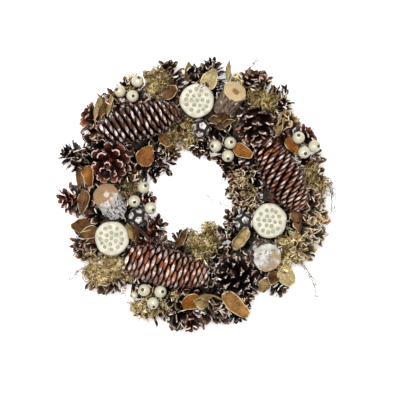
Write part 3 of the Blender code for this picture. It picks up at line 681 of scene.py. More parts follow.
def long_cone_finish(name, deep, warm, frost_from, orange_from):
    """Near black between the scales as painted shade, and lens-shaped lips that are pale across their
    middles.
    """
    cone = Finish(name, 0.38, 0.3)
    along, across = cone.sheet()
    # Under the lips the colour is near black: painted shade between the scales.
    root = toned(deep, 0.05)
    brown = cone.shades(along, (0.0, root), (0.7, root), (0.88, deep), (0.99, warm))
    rusty = cone.between(cone.speckle(38.0, 3.0), orange_from, orange_from + 0.17)
    rusty = cone.times(rusty, cone.between(along, 0.75, 0.95))
    orange = cone.blend(rusty, brown, (0.4, 0.11, 0.03))
    lens = cone.times(cone.between(along, 0.93, 0.98), cone.between(across, 0.86, 0.3))
    chosen = cone.between(cone.speckle(80.0, 2.0), frost_from, frost_from + 0.14)
    streaked = cone.between(cone.speckle(420.0, 2.0), 0.22, 0.42)
    frost = cone.times(cone.times(lens, chosen), streaked)
    pale = cone.shades(cone.speckle(260.0, 3.0), (0.36, (0.38, 0.26, 0.22)), (0.58, (0.92, 0.84, 0.8)))
    return cone.painted(cone.blend(frost, orange, pale), cone.speckle(600.0, 3.0), 0.2, 0.0005)


def moss_finish(name, low, middle, high):
    moss = Finish(name, 0.85, 0.15)
    tone = moss.shades(moss.speckle(190.0, 3.0), (0.41, low), (0.5, middle), (0.6, high))
    patch = moss.shades(moss.speckle(60.0, 2.0), (0.38, (0.46, 0.38, 0.33)), (0.58, (1.16, 1.16, 1.14)))
    return moss.painted(moss.blend(1.0, tone, patch, "MULTIPLY"))


def leaf_finish(name, deep, warm):
    """A dried leaf: veined, blotched, with a thin pale rim that comes and goes."""
    leaf = Finish(name, 0.5, 0.12)
    along, across = leaf.sheet()
    blotch = leaf.speckle(75.0)
    shadow = toned(deep, 0.45)
    body = leaf.shades(blotch, (0.36, deep), (0.64, warm))
    body = leaf.blend(leaf.between(leaf.speckle(420.0, 3.0), 0.56, 0.68), body, shadow)
    slant = leaf.minus(leaf.times(along, 9.0), leaf.times(across, 3.0))
    vein = leaf.maths("ABSOLUTE", leaf.minus(leaf.maths("FRACT", slant), 0.5))
    rib = leaf.between(leaf.minus(1.0, across), 0.93, 0.98)
    line = leaf.maths("MAXIMUM", leaf.between(leaf.minus(0.5, vein), 0.44, 0.49), rib)
    body = leaf.blend(leaf.times(line, 0.5), body, shadow)
    ends = leaf.maths("ABSOLUTE", leaf.minus(leaf.times(along, 2.0), 1.0))
    edge = leaf.plus(leaf.maths("MAXIMUM", across, ends), leaf.times(blotch, 0.3))
    pale = leaf.times(leaf.between(edge, 1.115, 1.145), 0.8)
    height = leaf.plus(leaf.times(line, -0.6), blotch)
    return leaf.painted(leaf.blend(pale, body, LEAF_RIM), height, 0.5, 0.0006)


def pod_finish():
    pod = Finish("lotus pod", 0.7, 0.3)
    stops = ((0.35, (0.4, 0.378, 0.295)), (0.62, (0.57, 0.545, 0.44)))
    return pod.painted(pod.shades(pod.speckle(120.0, 6.0), *stops), pod.speckle(500.0, 3.0), 0.25, 0.0005)


def mottled_finish(
    name, roughness, pattern, tones, depth=0.0005, coat=0.0, strength=0.5, places=(0.35, 0.65)
):
    """Two or three tones in an uneven pattern."""
    mottled = Finish(name, roughness)
    height = mottled.speckle(*pattern)
    mottled.put("Coat Weight", coat)
    return mottled.painted(mottled.shades(height, *zip(places, tones)), height, strength, depth)


def bark_finish(name, brown, silver_from, heading, lift):
    """Fissured bark that runs along the log, near black in its fissures, partly its own dark and partly
    painted shade, brushed with silver-white.
    """
    bark = Finish(name, 0.6, 0.3)
    turn = turned(heading, lift).inverted().to_euler()
    own = bark.add("Mapping", {"Vector": bark.here, "Rotation": turn})["Vector"]
    lengthways = bark.add("Mapping", {"Vector": own, "Scale": (1.0, 1.0, 0.22)})["Vector"]
    ridges = bark.speckle(420.0, 5.0, 0.65, lengthways)
    # The near black in the fissures is partly the bark's own dark and partly painted shade.
    wood = bark.shades(ridges, (0.38, (0.015, 0.009, 0.006)), (0.5, brown), (0.68, toned(brown, 2.2)))
    silver = bark.between(bark.speckle(95.0, 3.0), silver_from, silver_from + 0.08)
    silver = bark.times(silver, bark.between(ridges, 0.42, 0.5))
    return bark.painted(bark.blend(silver, wood, (0.82, 0.79, 0.76)), ridges, 0.9, 0.0022)


def sawn_finish(name, wood, pith, paint_scale, paint_from, paint_side):
    """A sawn face: rings round the middle of its own map, a pith, and rubbed white paint to one side."""
    sawn = Finish(name, 0.7, 0.2)
    centred = sawn.add("VectorMath", {0: sawn.flat_map, 1: (0.5, 0.5, 0.0)}, operation="SUBTRACT")[0]
    away = sawn.add("VectorMath", {0: centred}, operation="LENGTH")["Value"]
    uneven = sawn.speckle(120.0)
    wave = sawn.plus(sawn.times(away, 70.0), sawn.times(uneven, 16.0))
    rings = sawn.between(sawn.maths("SINE", wave), -0.6, 1.0)
    body = sawn.blend(sawn.times(rings, 0.6), wood, toned(wood, 0.7))
    stain = sawn.between(sawn.speckle(210.0), 0.5, 0.7)
    body = sawn.blend(sawn.times(stain, 0.6), body, toned(wood, 0.55))
    heart = sawn.plus(away, sawn.times(sawn.minus(uneven, 0.5), 0.5))
    body = sawn.blend(sawn.between(sawn.minus(0.16, heart), 0.0, 0.08), body, pith)
    point, direction = paint_side
    from_point = sawn.add("VectorMath", {0: sawn.here, 1: point}, operation="SUBTRACT")[0]
    lean = sawn.add("VectorMath", {0: from_point, 1: direction}, operation="DOT_PRODUCT")["Value"]
    rub = sawn.plus(sawn.speckle(paint_scale, 5.0), sawn.times(lean, 18.0))
    paint = sawn.between(rub, paint_from, paint_from + 0.1)
    tone = sawn.shades(sawn.speckle(150.0), (0.4, (0.3, 0.285, 0.25)), (0.62, (0.55, 0.54, 0.51)))
    crack = sawn.between(sawn.speckle(190.0, 3.0), 0.34, 0.4)
    white = sawn.blend(crack, (0.1, 0.07, 0.05), tone)
    return sawn.painted(sawn.blend(paint, body, white), sawn.speckle(900.0, 3.0), 0.35, 0.0006)


# Models that repeat


def scale_model(name, widths, lifts, thickness, tip_thickening):
    """One cone scale along +Y from its root at the origin, its hollow side up, with its own flat map."""
    rows = len(widths) - 1
    bpy.ops.mesh.primitive_grid_add(x_subdivisions=4, y_subdivisions=rows, size=1.0)
    scale = bpy.context.object
    scale.name = name
    move_where(scale, everywhere, (0.0, 0.5, 0.0))
    move_where(scale, lambda co: abs(co.x) > 0.4, (0.0, 0.0, 0.07))
    move_where(scale, lambda co: 0.2 < abs(co.x) < 0.3, (0.0, 0.0, 0.018))
    move_where(scale, lambda co: abs(co.x) > 0.4 and co.y > 0.95, (0.0, -0.1, 0.0))
    move_where(scale, lambda co: 0.2 < abs(co.x) < 0.3 and co.y > 0.95, (0.0, -0.02, 0.0))
    for row, (width, lift) in enumerate(zip(widths, lifts)):
        level = row / rows
        low = level - 0.4 / rows - (0.08 if row == rows else 0.0)
        choose(scale, lambda co: low < co.y < level + 0.4 / rows)
        bpy.ops.transform.resize(value=(width, 1.0, 1.0), center_override=(0.0, level, 0.0))
        bpy.ops.transform.translate(value=(0.0, 0.0, lift))
        done()
    add_modifier(scale, "SOLIDIFY", thickness=thickness, offset=0.0)
    resize_where(scale, lambda co: co.y > 0.86, (1.0, 1.0, tip_thickening), (0.0, 0.95, lifts[-1]))
    smooth(scale, 50)
    return scale


def scale_turn(azimuth, angle):
    """For a scale set round a cone and lifted by angle: the way out from the cone, and the scale's turn."""
    radial = Vector((cos(azimuth), sin(azimuth), 0.0))
    along = radial * cos(angle) + Vector((0.0, 0.0, sin(angle)))
    side = Vector((sin(azimuth), -cos(azimuth), 0.0))
    return radial, Matrix((side, along, side.cross(along))).transposed().to_4x4()


def scale_size(width, length):
    return Matrix.Diagonal((width, length, 0.5 * (width + length), 1.0))


def open_cone_model(name, scale, count, width_share, lowest, highest, seed):
    """An open cone one unit long and wide: scales set in a spiral round a slim core, tip along +Z."""
    rng = random.Random(seed)
    bpy.ops.mesh.primitive_cone_add(vertices=12, radius1=CORE_FOOT, radius2=CORE_TIP, depth=CORE_LENGTH)
    core = bpy.context.object
    choose(core, everywhere)
    bpy.ops.mesh.bevel(offset=0.02, segments=1)
    done()
    pieces = [core]
    for i in range(count):
        share = (i + 0.5) / count
        angle = radians(lowest + (highest - lowest) * share**1.2 + rng.uniform(-7, 7))
        radius = CORE_FOOT - 0.1 * share
        bulge = sin(pi * (0.25 + 0.7 * share)) ** 0.8 / 2
        reach = (bulge - radius) / cos(angle) * rng.uniform(0.92, 1.06)
        width = width_share * rng.uniform(0.85, 1.1) * min(1.0, 0.55 + 1.2 * (1 - share))
        radial, turn = scale_turn(i * GOLDEN_ANGLE, angle)
        root = Matrix.Translation(radial * radius * 0.7 + Vector((0.0, 0.0, CORE_LENGTH * (share - 0.5))))
        twist = Matrix.Rotation(rng.uniform(-0.15, 0.15), 4, "Y")
        pieces.append(copy_at(scale, "scale", root @ turn @ twist @ scale_size(width, reach + 0.3 * radius)))
    return join_all(name, pieces)


def spindle(share):
    return sin(pi * (0.18 + 0.79 * share)) ** 0.5


def lipped_scale():
    """A long cone's scale: its end swells to a lens, thick in the middle and sharp at the sides."""
    scale = scale_model("long scale", *LIPPED_SCALE)
    resize_where(scale, lambda co: co.y > 0.7 and abs(co.x) < 0.1, (1.0, 1.0, 3.3), (0.0, 0.9, 0.0))
    resize_where(scale, lambda co: co.y > 0.7 and 0.1 < abs(co.x) < 0.35, (1.0, 1.0, 2.4), (0.0, 0.9, 0.018))
    resize_where(scale, lambda co: co.y > 0.7 and abs(co.x) > 0.35, (1.12, 1.0, 0.5), (0.0, 0.9, 0.07))
    return scale


def long_cone_model(name, scale, dark, length, width, count, hand, lean, lip_width, lip_depth, seed):
    """A long cone at its real size, a little open: scales that lean towards the tip along +Z."""
    rng = random.Random(seed)
    length, width, lip_width, lip_depth = metres(length, width, lip_width, lip_depth)
    bpy.ops.mesh.primitive_uv_sphere_add(segments=20, ring_count=12, radius=1.0)
    core = bpy.context.object
    core.scale = (width / 2 - CORE_DEPTH, width / 2 - CORE_DEPTH, 0.43 * length)
    settled(core)
    # The core is near black as painted shade deep inside the cone.
    cover(core, dark)
    pieces = [core]
    for i in range(-BASE_SCALES, count):
        share = (i + 0.5) / count
        angle = radians(42 + 12 * share + 600 * min(0.0, share) + rng.uniform(-4, 4))
        reach = LIP_REACH * rng.uniform(0.94, 1.05)
        radius = (width / 2 - 0.0004) * spindle(share) - reach * cos(angle)
        radial, turn = scale_turn(hand * i * GOLDEN_ANGLE, angle)
        height = 0.93 * length * (max(share, 0.3 * share) - 0.5) - 0.005
        root = Matrix.Translation(radial * (radius - 0.001) + Vector((0.0, 0.0, height)))
        slant = Matrix.Rotation(radians(lean) + rng.uniform(-0.08, 0.08), 4, "Y")
        wide = lip_width * (0.4 + 0.6 * spindle(share)) * rng.uniform(0.92, 1.06)
        size = Matrix.Diagonal((wide, reach + 0.001, lip_depth, 1.0))
        pieces.append(copy_at(scale, "scale", root @ turn @ slant @ size))
    return join_all(name, pieces)


def leaf_model(name, widths, tips, waves):
    """A flat-mapped leaf: length 1.1 along +Z, width 1 along Y, a unit bow with its hollow towards -X."""
    rows = len(widths) - 1
    bpy.ops.mesh.primitive_grid_add(x_subdivisions=6, y_subdivisions=rows, size=1.0)
    leaf = bpy.context.object
    leaf.name = name
    for row, (width, tip) in enumerate(zip(widths, tips)):
        level = row / rows - 0.5
        choose(leaf, lambda co: abs(co.y - level) < 0.4 / rows)
        bpy.ops.transform.resize(value=(width, 1.0, 1.0), center_override=(0.0, level, 0.0))
        bpy.ops.transform.translate(value=(0.0, tip, LEAF_BOW * level * level))
        done()
    for vertex in leaf.data.vertices:
        across = abs(vertex.co.x)
        vertex.co.z += 1.5 * across * across + waves * across * sin(14 * vertex.co.y + 3 * vertex.co.x)
    leaf.matrix_world = Matrix(((0, 0, -1, 0), (1, 0, 0, 0), (0, 1, 0, 0), (0, 0, 0, 1)))
    return settled(leaf)


# Pieces


def dress_open_cones(finishes):
    scales = {kind: scale_model(kind + " scale", *shape) for kind, shape in SCALES.items()}
    models = {}
    for name, (kind, *shape) in CONE_MODELS.items():
        models[name] = open_cone_model(name, scales[kind], *shape)
    for names, rows in OPEN_CONES.items():
        for number, (heading, lift, roll, length, width, model, finish) in enumerate(rows, 1):
            name = names.format(number)
            length, width = metres(length, width)
            size = Matrix.Diagonal((width, width, length, 1.0))
            cone = settled(copy_at(models[model], "fine_" + name, turned(heading, lift, roll) @ size))
            cover(cone, finishes[finish])
            stand_for(cone, name)
    put_away(*scales.values(), *models.values())


def dress_long_cones(dark):
    scale = lipped_scale()
    for seed, (name, (heading, lift, *shape)) in enumerate(LONG_CONES.items()):
        cover(scale, long_cone_finish(*LONG_CONE_LOOKS[name]))
        cone = long_cone_model("fine_" + name, scale, dark, *shape, seed)
        cone.matrix_world = turned(heading, lift, 40 * seed)
        settled(cone)
        stand_for(cone, name)
    put_away(scale)


def pod_body():
    """The pod's cup, drawn up from its neck ring by ring, with a rounded shoulder and a flat face."""
    radius, height = POD_RINGS[0]
    neck = (0.0, 0.0, height)
    bpy.ops.mesh.primitive_circle_add(vertices=48, radius=radius, location=neck, fill_type="NGON")
    body = settled(bpy.context.object)
    choose(body, everywhere, "FACE")
    for next_radius, next_height in POD_RINGS[1:]:
        step = (0.0, 0.0, next_height - height)
        bpy.ops.mesh.extrude_region_move(TRANSFORM_OT_translate={"value": step})
        grow = next_radius / radius
        bpy.ops.transform.resize(value=(grow, grow, 1.0), center_override=(0.0, 0.0, next_height))
        radius, height = next_radius, next_height
    bpy.ops.mesh.select_all(action="SELECT")
    bpy.ops.mesh.normals_make_consistent(inside=False)
    done()
    return body


def ball_at(radius, place, segments, rings):
    bpy.ops.mesh.primitive_uv_sphere_add(segments=segments, ring_count=rings, radius=radius, location=place)
    return bpy.context.object


def pod_pits():
    """Small round cutters and the seeds that sit in the pits."""
    cutters, seeds = [], []
    for ring, (radius, count) in enumerate(PIT_RINGS):
        for j in range(count):
            angle = 2 * pi * (j + 0.5 * ring) / count + 0.1 * sin(5 * j + ring)
            x, y = radius * cos(angle), radius * sin(angle)
            cutters.append(ball_at(PIT_RADIUS, (x, y, PIT_HEIGHT), 14, 8))
            seeds.append(ball_at(SEED_RADIUS, (x, y, SEED_HEIGHT), 10, 6))
    return join_all("pits", cutters), join_all("seeds", seeds)


def dress_pods(pod, pit, seed):
    body = pod_body()
    pits, seeds = pod_pits()
    cover(body, pod)
    cover(pits, pit)
    cover(seeds, seed)
    cut = {"operation": "DIFFERENCE", "solver": "EXACT", "use_self": True, "material_mode": "TRANSFER"}
    add_modifier(body, "BOOLEAN", object=pits, **cut)
    model = join_all("pod", [body, seeds])
    smooth(model, 40)
    for name, (heading, lift) in LOTUS_PODS.items():
        place = Matrix.Translation(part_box(name)[0]) @ turned(heading, lift)
        piece = settled(copy_at(model, "fine_" + name, place))
        crumple(piece, 0.0014)
        stand_for(piece, name)
    put_away(pits, model)


def dress_logs():
    for seed, (name, (heading, lift, length, width)) in enumerate(LOGS.items()):
        length, width = metres(length, width)
        bpy.ops.mesh.primitive_cylinder_add(vertices=40, radius=0.97 * width / 2, depth=length)
        log = bpy.context.object
        cover(log, bark_finish(*BARKS[name], heading, lift), sawn_finish(*SAWN_FACES[name]))
        for face in log.data.polygons:
            face.material_index = 1 if abs(face.normal.z) > 0.9 else 0
        choose(log, lambda face: face.material_index == 1, "FACE")
        bpy.ops.uv.reset()
        bpy.ops.mesh.inset(thickness=0.0006, depth=0.0004)
        bpy.ops.mesh.select_all(action="INVERT")
        bpy.ops.mesh.subdivide(number_cuts=5)
        done()
        for vertex in log.data.vertices:
            x, y, z = vertex.co
            if hypot(x, y) > 0.9 * width / 2:
                angle = atan2(y, x)
                lump = noise.noise(Vector((3 * cos(angle), 3 * sin(angle), 90 * z + 7 * seed)))
                ridge = noise.noise(Vector((9 * cos(angle), 9 * sin(angle), 40 * z + 9 * seed)))
                grow = 1 + 0.05 * lump + 0.03 * ridge
                vertex.co.x *= grow
                vertex.co.y *= grow
        log.matrix_world = turned(heading, lift, 60 * seed)
        log.name = "fine_" + name
        smooth(settled(log), 35)
        stand_for(log, name)


def is_plate(face, middle):
    """Whether a face is a ball's plate, which looks straight out from its middle."""
    outward = (face.center - middle).normalized()
    return face.normal.dot(outward) > 0.96 and face.area > 0.00003


def dress_cypress_cones(plate, crack):
    for number in (1, 2, 3):
        name = f"cypress_cone_{number}"
        piece = copy_at(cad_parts[name], "fine_" + name, Matrix.Identity(4))
        choose(piece, everywhere, "FACE")
        bpy.ops.mesh.remove_doubles(threshold=0.00005)
        bpy.ops.mesh.dissolve_limited(angle_limit=radians(2))
        done()
        # The faces between the plates are near black: painted shade in the cracks.
        cover(piece, crack, plate)
        low, high = box_of(piece)
        # The plates' palest tone is a painted highlight.
        for face in piece.data.polygons:
            face.material_index = 1 if is_plate(face, (low + high) / 2) else 0
        choose(piece, lambda face: face.material_index == 1, "FACE")
        bpy.ops.mesh.inset(thickness=0.0006, depth=0.0004, use_individual=True)
        bpy.ops.mesh.inset(thickness=0.0016, depth=0.0003, use_individual=True)
        done()
        add_modifier(piece, "BEVEL", width=0.0004, segments=2, limit_method="ANGLE")
        smooth(piece, 40)
        stand_for(piece, name)


def stem_between(start, end, radius, sag, finish):
    """A thin stem as a bevelled curve with a slight bow, made a mesh."""
    curve = new_curve("stem", radius, 1)
    line = curve.splines.new("BEZIER")
    line.bezier_points.add(2)
    middle = (start + end) / 2 + Vector((sag, -sag, sag))
    for point, place in zip(line.bezier_points, (start, middle, end)):
        point.co = place
        point.handle_left_type = point.handle_right_type = "AUTO"
    stem = made_mesh("stem", curve)
    cover(stem, finish)
    return stem


def berry_model(skin, calyx):
    """One ivory berry with a flattened top and a dark dried calyx at +Z."""
    berry = ball_at(1.0, (0.0, 0.0, 0.0), 28, 18)
    cover(berry, skin)
    resize_where(berry, lambda co: co.z > 0.95, (1.0, 1.0, 0.2), (0.0, 0.0, 0.93))
    top = (0.0, 0.0, 0.97)
    bpy.ops.mesh.primitive_cone_add(vertices=5, radius1=0.37, radius2=0.2, depth=0.16, location=top)
    crown = bpy.context.object
    cover(crown, calyx)
    choose(crown, lambda face: face.normal.z > 0.9, "FACE")
    bpy.ops.mesh.inset(thickness=0.03, depth=-0.06)
    done()
    model = join_all("berry", [berry, crown])
    smooth(model, 40)
    return model


def dress_berries(skin, calyx, stalk):
    """Returns the berries' middles."""
    model = berry_model(skin, calyx)
    middles = []
    for name, (foot, *berries) in BERRY_SPRIGS.items():
        foot = Vector(metres(*foot))
        pieces, centres = [], []
        for berry in berries:
            *middle, radius = metres(*berry)
            centre = Vector(middle)
            away = (centre - foot).normalized()
            out = (away + Vector((0.0, 0.0, 0.9))).normalized()
            turn = out.to_track_quat("Z", "Y").to_matrix().to_4x4()
            place = Matrix.Translation(centre) @ turn @ Matrix.Scale(radius, 4)
            pieces.append(copy_at(model, "berry", place))
            pieces.append(stem_between(foot, centre - away * radius * 0.8, *BERRY_STEM, stalk))
            centres.append(centre)
        shift = stand_for(join_all("fine_" + name, pieces), name)
        middles += [centre + shift for centre in centres]
    put_away(model)
    return middles


def crumple(item, depth):
    """Dents a thin piece unevenly, both faces alike."""
    for vertex in item.data.vertices:
        for i in range(3):
            spot = vertex.co * 75.0 + Vector((11.0 * i, 0.0, 0.0))
            vertex.co[i] += depth * noise.noise(spot)


def dress_leaves(finishes, stalk):
    models = [leaf_model(name, *shape) for name, shape in LEAF_SHAPES.items()]
    count = 0
    for name, (foot, *leaves) in LEAF_SPRAYS.items():
        foot = Vector(metres(*foot))
        pieces = []
        for x, y, z, heading, lift, roll, length, width, bend, finish in leaves:
            length, width = metres(length, width)
            bow = length * radians(bend)
            place = Matrix.Translation(metres(x, y, z)) @ turned(heading, lift, roll)
            size = Matrix.Diagonal((max(bow, 0.46 * width), 0.95 * width, length, 1.0))
            leaf = settled(copy_at(models[count % 2], "leaf", place @ size))
            add_modifier(leaf, "SOLIDIFY", thickness=LEAF_THICKNESS, offset=0.0)
            add_modifier(leaf, "SUBSURF", levels=1, render_levels=1)
            cover(leaf, finishes[finish])
            pieces.append(leaf)
            root = place @ Vector((-LEAF_BOW * bow * STALK_END**2, 0.0, -STALK_END * length))
            pieces.append(stem_between(foot, root, *LEAF_STALK, stalk))
            count += 1
        spray = join_all("fine_" + name, pieces)
        crumple(spray, 0.0017)
        bpy.ops.object.shade_smooth()
        stand_for(spray, name)
    put_away(*models)


def solid_surface():
    """All the solids as one tree of faces, to find what lies under a point."""
    points, faces = [], []
    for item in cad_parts.values():
        first = len(points)
        points.extend([item.matrix_world @ vertex.co for vertex in item.data.vertices])
        faces.extend([tuple(first + i for i in face.vertices) for face in item.data.polygons])
    return BVHTree.FromPolygons(points, faces)


def height_at(surface, x, y):
    hit = surface.ray_cast(Vector((x, y, 0.2)), Vector((0.0, 0.0, -1.0)))[0]
    return hit.z if hit else 0.0


def strands(name, paths, thickness, finish, taper=0.75):
    """Fine strands through lists of points, as one bevelled curve made a mesh."""
    curve = new_curve(name, thickness, 0)
    for path in paths:
        line = curve.splines.new("POLY")
        line.points.add(len(path) - 1)
        for k, (point, place) in enumerate(zip(line.points, path)):
            point.co = (place.x, place.y, max(place.z, 2 * thickness), 1.0)
            point.radius = 1.0 - taper * k / len(path)
    item = made_mesh(name, curve)
    bpy.ops.object.shade_smooth()
    cover(item, finish)
    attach(item, "root")


def curl(rng, start, heading, rise, step, count, wander):
    """A wandering, curling path."""
    path = [start]
    twist = rng.uniform(-1.0, 1.0) * wander
    lean = rise
    for _ in range(count):
        heading += twist + rng.uniform(-0.35, 0.35)
        lean = 0.8 * lean + rng.uniform(-0.5, 0.5)
        level = step * cos(lean)
        onward = Vector((level * cos(heading), level * sin(heading), step * sin(lean)))
        path.append(path[-1] + onward)
    return path


def clear_part(path, berries):
    """The start of a path, up to where it would cross or brush a berry."""
    near = BERRY / 1000 + 0.0015
    return list(takewhile(lambda place: all((place.xy - berry.xy).length >= near for berry in berries), path))


def dress_moss(surface, finishes, berries):
    for number, (*cushion, heading, count, finish) in enumerate(MOSS, 1):
        x, y, half_length, half_width = metres(*cushion)
        rng = random.Random(SEEDS["moss"] + number)
        turn = Matrix.Rotation(radians(heading), 2)
        paths = []
        for _ in range(2 * count):
            away = sqrt(rng.random())
            angle = rng.uniform(0, 2 * pi)
            flat = turn @ Vector((away * half_length * cos(angle), away * half_width * sin(angle)))
            here = Vector((x + flat.x, y + flat.y, 0.0))
            under = height_at(surface, here.x, here.y)
            if under > MOSS_TOP:
                continue
            tuft = noise.noise(Vector((70 * here.x, 70 * here.y, number)))
            if tuft < -0.16 or away > 0.8 + 0.9 * tuft:
                continue
            swell = 0.008 * (1 - away * away) * (0.4 + 1.6 * max(0.0, tuft))
            here.z = max(LOWEST_START, under) + rng.uniform(-0.004, 0.003) + swell * rng.random()
            steps = rng.choice((5, 6, 7, 8, 11))
            path = curl(rng, here, rng.uniform(0, 2 * pi), rng.uniform(-0.2, 1.0), 0.0021, steps, 0.9)
            path = clear_part(path, berries)
            if len(path) > 2:
                paths.append(path)
        strands(f"moss_{number:02d}", paths, MOSS_STRAND, finishes[finish])


def ring_spot(rng, below, across, up):
    """A random place on the straw ring: its bearing, how far round the tube it is, and the point."""
    bearing = rng.uniform(0, 2 * pi)
    round_tube = radians(rng.uniform(-below, 180 + below))
    reach = RING_RADIUS + across * cos(round_tube)
    height = RING_HEIGHT + up * sin(round_tube)
    return bearing, round_tube, Vector((reach * cos(bearing), reach * sin(bearing), height))


def dress_litter(finish):
    """Dark dry stuff rooted all over the ring, which fills the gaps between the pieces; its near-black colour
    is painted shade in those gaps.
    """
    rng = random.Random(SEEDS["litter painted shade"])
    paths = []
    for _ in range(LITTER_STRANDS):
        bearing, round_tube, start = ring_spot(rng, 25, RING_TUBE, RING_TUBE)
        outward = cos(round_tube)
        heading = bearing if outward > 0 else bearing + pi
        rise = 0.9 * sin(round_tube)
        steps = 7 if abs(outward) > 0.5 else 4
        paths.append(curl(rng, start, heading + rng.uniform(-0.9, 0.9), rise, 0.003, steps, 0.25))
    strands("litter painted shade", paths, LITTER_STRAND, finish)


def chip_model():
    """A thin broken scale one unit long, its tip rounded and bent."""
    bpy.ops.mesh.primitive_grid_add(x_subdivisions=2, y_subdivisions=3, size=1.0)
    model = bpy.context.object
    move_where(model, everywhere, (0.0, 0.5, 0.0))
    resize_where(model, lambda co: co.y < 0.1, (0.4, 1.0, 1.0), (0.0, 0.0, 0.0))
    move_where(model, lambda co: abs(co.x) > 0.1 and co.y > 0.9, (0.0, -0.16, 0.0))
    move_where(model, lambda co: abs(co.x) > 0.1, (0.0, 0.0, 0.12))
    move_where(model, lambda co: co.y > 0.8, (0.0, 0.0, -0.1))
    add_modifier(model, "SOLIDIFY", thickness=0.07, offset=0.0)
    smooth(model, 50)
    return model


def chip_at(model, rng, start, heading, lift, length, width):
    point_out = turned(heading, lift, rng.uniform(0, 360)) @ Matrix.Rotation(radians(90), 4, "X")
    place = Matrix.Translation(start) @ point_out @ scale_size(width, length)
    lowest = min((place @ vertex.co).z for vertex in model.data.vertices)
    if lowest < 0.001:
        place = Matrix.Translation((0.0, 0.0, 0.001 - lowest)) @ place
    return copy_at(model, "chip", place)


def dress_chips(surface, finishes):
    """Loose cone scales stuck on the ring between the pieces."""
    rng = random.Random(SEEDS["loose scales"])
    model = chip_model()
    pieces = {kind: [] for kind in CHIP_KINDS}
    for _ in range(CHIPS):
        bearing, round_tube, start = ring_spot(rng, 20, 0.018, 0.017)
        outward = cos(round_tube)
        heading = degrees(bearing) + (0 if outward > 0 else 180) + rng.uniform(-35, 35)
        lift = 75 * sin(round_tube) + rng.uniform(-20, 20)
        length = rng.uniform(0.016, 0.024) + 0.008 * abs(outward)
        width = rng.uniform(0.006, 0.009)
        kind = rng.choice(CHIP_MIX)
        pieces[kind].append(chip_at(model, rng, start, heading, lift, length, width))
    for x, y, half_size, count, length, bias, stray, kind in CHIP_PATCHES:
        x, y, half_size, length = metres(x, y, half_size, length)
        for _ in range(count):
            spot = Vector((x + rng.uniform(-half_size, half_size), y + rng.uniform(-half_size, half_size)))
            under = max(LOWEST_START, min(0.058, height_at(surface, *spot)))
            start = Vector((spot.x, spot.y, under - 0.004))
            heading = degrees(atan2(y, x)) + bias + rng.uniform(-stray, stray)
            size = length * rng.uniform(0.75, 1.2)
            pieces[kind].append(chip_at(model, rng, start, heading, rng.uniform(5, 70), size, 0.4 * size))
    put_away(model)
    for kind, chips in pieces.items():
        whole = join_all("loose_scales_" + kind, chips)
        cover(whole, finishes[kind])
        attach(whole, "root")


def dress_wisps(surface, finish):
    """Thin curling strands that stray past the rim and into the hole."""
    rng = random.Random(SEEDS["wisps"])
    paths = []
    for points, count in WISPS:
        points = [metres(*point) for point in points]
        base = max(LOWEST_START, min(0.055, height_at(surface, *points[0])))
        for _ in range(count):
            path = []
            for k, (x, y) in enumerate(points):
                loose = 0.0012 + 0.0014 * k
                x += rng.uniform(-loose, loose)
                y += rng.uniform(-loose, loose)
                spot = Vector((x, y, base + rng.uniform(-0.006, 0.006)))
                if path:
                    for share in (0.33, 0.66):
                        between_them = path[-1].lerp(spot, share)
                        path.append(between_them + Vector([rng.uniform(-0.0015, 0.0015) for _ in range(3)]))
                path.append(spot)
            paths.append(path)
            for place in path[4::2]:
                side = rng.uniform(0, 2 * pi)
                paths.append(curl(rng, place, side, 0.1, 0.0016, 3, 0.5))
    strands("wisps", paths, WISP, finish)


def bind_ring(finish):
    """Twine wound round the straw ring, laid on its surface."""
    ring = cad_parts["ring_base"]
    faces = [tuple(face.vertices) for face in ring.data.polygons]
    skin = BVHTree.FromPolygons([vertex.co for vertex in ring.data.vertices], faces)
    low, high = (Vector(corner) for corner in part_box("ring_base"))
    middle = (low + high) / 2
    paths = []
    for turn_number in range(TWINE_TURNS):
        path = []
        for step in range(TWINE_STEPS + 1):
            bearing = 2 * pi * (turn_number + 0.5 * step / TWINE_STEPS) / TWINE_TURNS
            round_tube = 2 * pi * step / TWINE_STEPS
            out = Vector((cos(bearing), sin(bearing), 0.0))
            centre = Vector((middle.x, middle.y, RING_HEIGHT)) + RING_RADIUS * out
            ray = out * cos(round_tube) + Vector((0.0, 0.0, sin(round_tube)))
            hit = skin.ray_cast(centre, ray)[0] or centre + RING_TUBE * ray
            path.append(Vector((hit.x, hit.y, max(hit.z, TWINE))))
        paths.append(path)
    strands("twine", paths, TWINE, finish, taper=0.0)


# Floor, light and camera


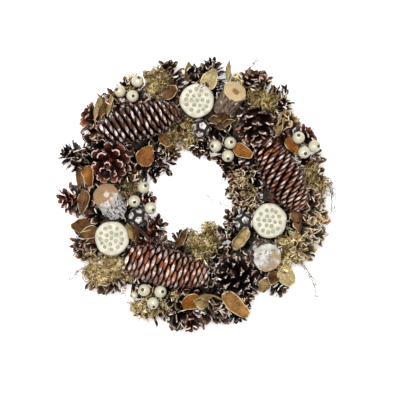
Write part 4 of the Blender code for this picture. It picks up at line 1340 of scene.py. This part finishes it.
def lay_floor():
    bpy.ops.mesh.primitive_plane_add(size=FLOOR_SIZE, location=(0.0, 0.0, FLOOR_HEIGHT))
    floor = bpy.context.object
    floor.name = "floor"
    pale = Finish("pale floor", 0.9, 0.1)
    pale.put("Emission Color", WHITE)
    pale.put("Emission Strength", FLOOR_GLOW)
    cover(floor, pale.painted((0.97, 0.97, 0.97)))


def light_studio():
    world = bpy.data.worlds.new("studio")
    world.use_nodes = True
    sky = world.node_tree.nodes["Background"]
    sky.inputs["Color"].default_value = (*WHITE, 1.0)
    sky.inputs["Strength"].default_value = SKY_LIGHT
    bpy.context.scene.world = world
    for name, (place, size, power) in LAMPS.items():
        bpy.ops.object.light_add(type="AREA", location=place)
        lamp = bpy.context.object
        lamp.name = name
        lamp.data.shape = "DISK"
        lamp.data.size = size
        lamp.data.energy = power
        lamp.rotation_euler = (-Vector(place)).to_track_quat("-Z", "Y").to_euler()


def place_camera():
    bpy.ops.object.camera_add(location=CAMERA_PLACE, rotation=(0.0, 0.0, 0.0))
    camera = bpy.context.object
    camera.data.lens = LENS
    camera.data.sensor_width = SENSOR
    bpy.context.scene.camera = camera
    bpy.context.scene.view_settings.view_transform = "Standard"
    bpy.context.scene.view_settings.look = "None"


def main():
    surface = solid_surface()
    cones = {kind: cone_finish(kind + " cone", *look) for kind, look in CONE_LOOKS.items()}
    leaves = {kind: leaf_finish(kind + " leaf", *look) for kind, look in LEAF_LOOKS.items()}
    mosses = {kind: moss_finish(kind + " moss", *look) for kind, look in MOSS_LOOKS.items()}
    mottled = {name: mottled_finish(name, *look) for name, look in MOTTLED.items()}
    dress_open_cones(cones)
    dress_long_cones(mottled["crack painted shade"])
    dress_pods(pod_finish(), mottled["lotus pit"], mottled["lotus seed"])
    dress_logs()
    dress_cypress_cones(mottled["cypress plate with painted highlights"], mottled["crack painted shade"])
    berries = dress_berries(mottled["berry"], mottled["calyx"], mottled["stalk"])
    dress_leaves(leaves, mottled["stalk"])
    dress_moss(surface, mosses, berries)
    dress_wisps(surface, mosses["dark"])
    dress_litter(mottled["litter painted shade"])
    dress_chips(surface, cones)
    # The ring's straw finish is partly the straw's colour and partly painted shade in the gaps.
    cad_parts["ring_base"].material_slots[0].material = mottled["straw with painted shade"]
    bind_ring(mottled["twine"])
    lay_floor()
    light_studio()
    place_camera()


main()
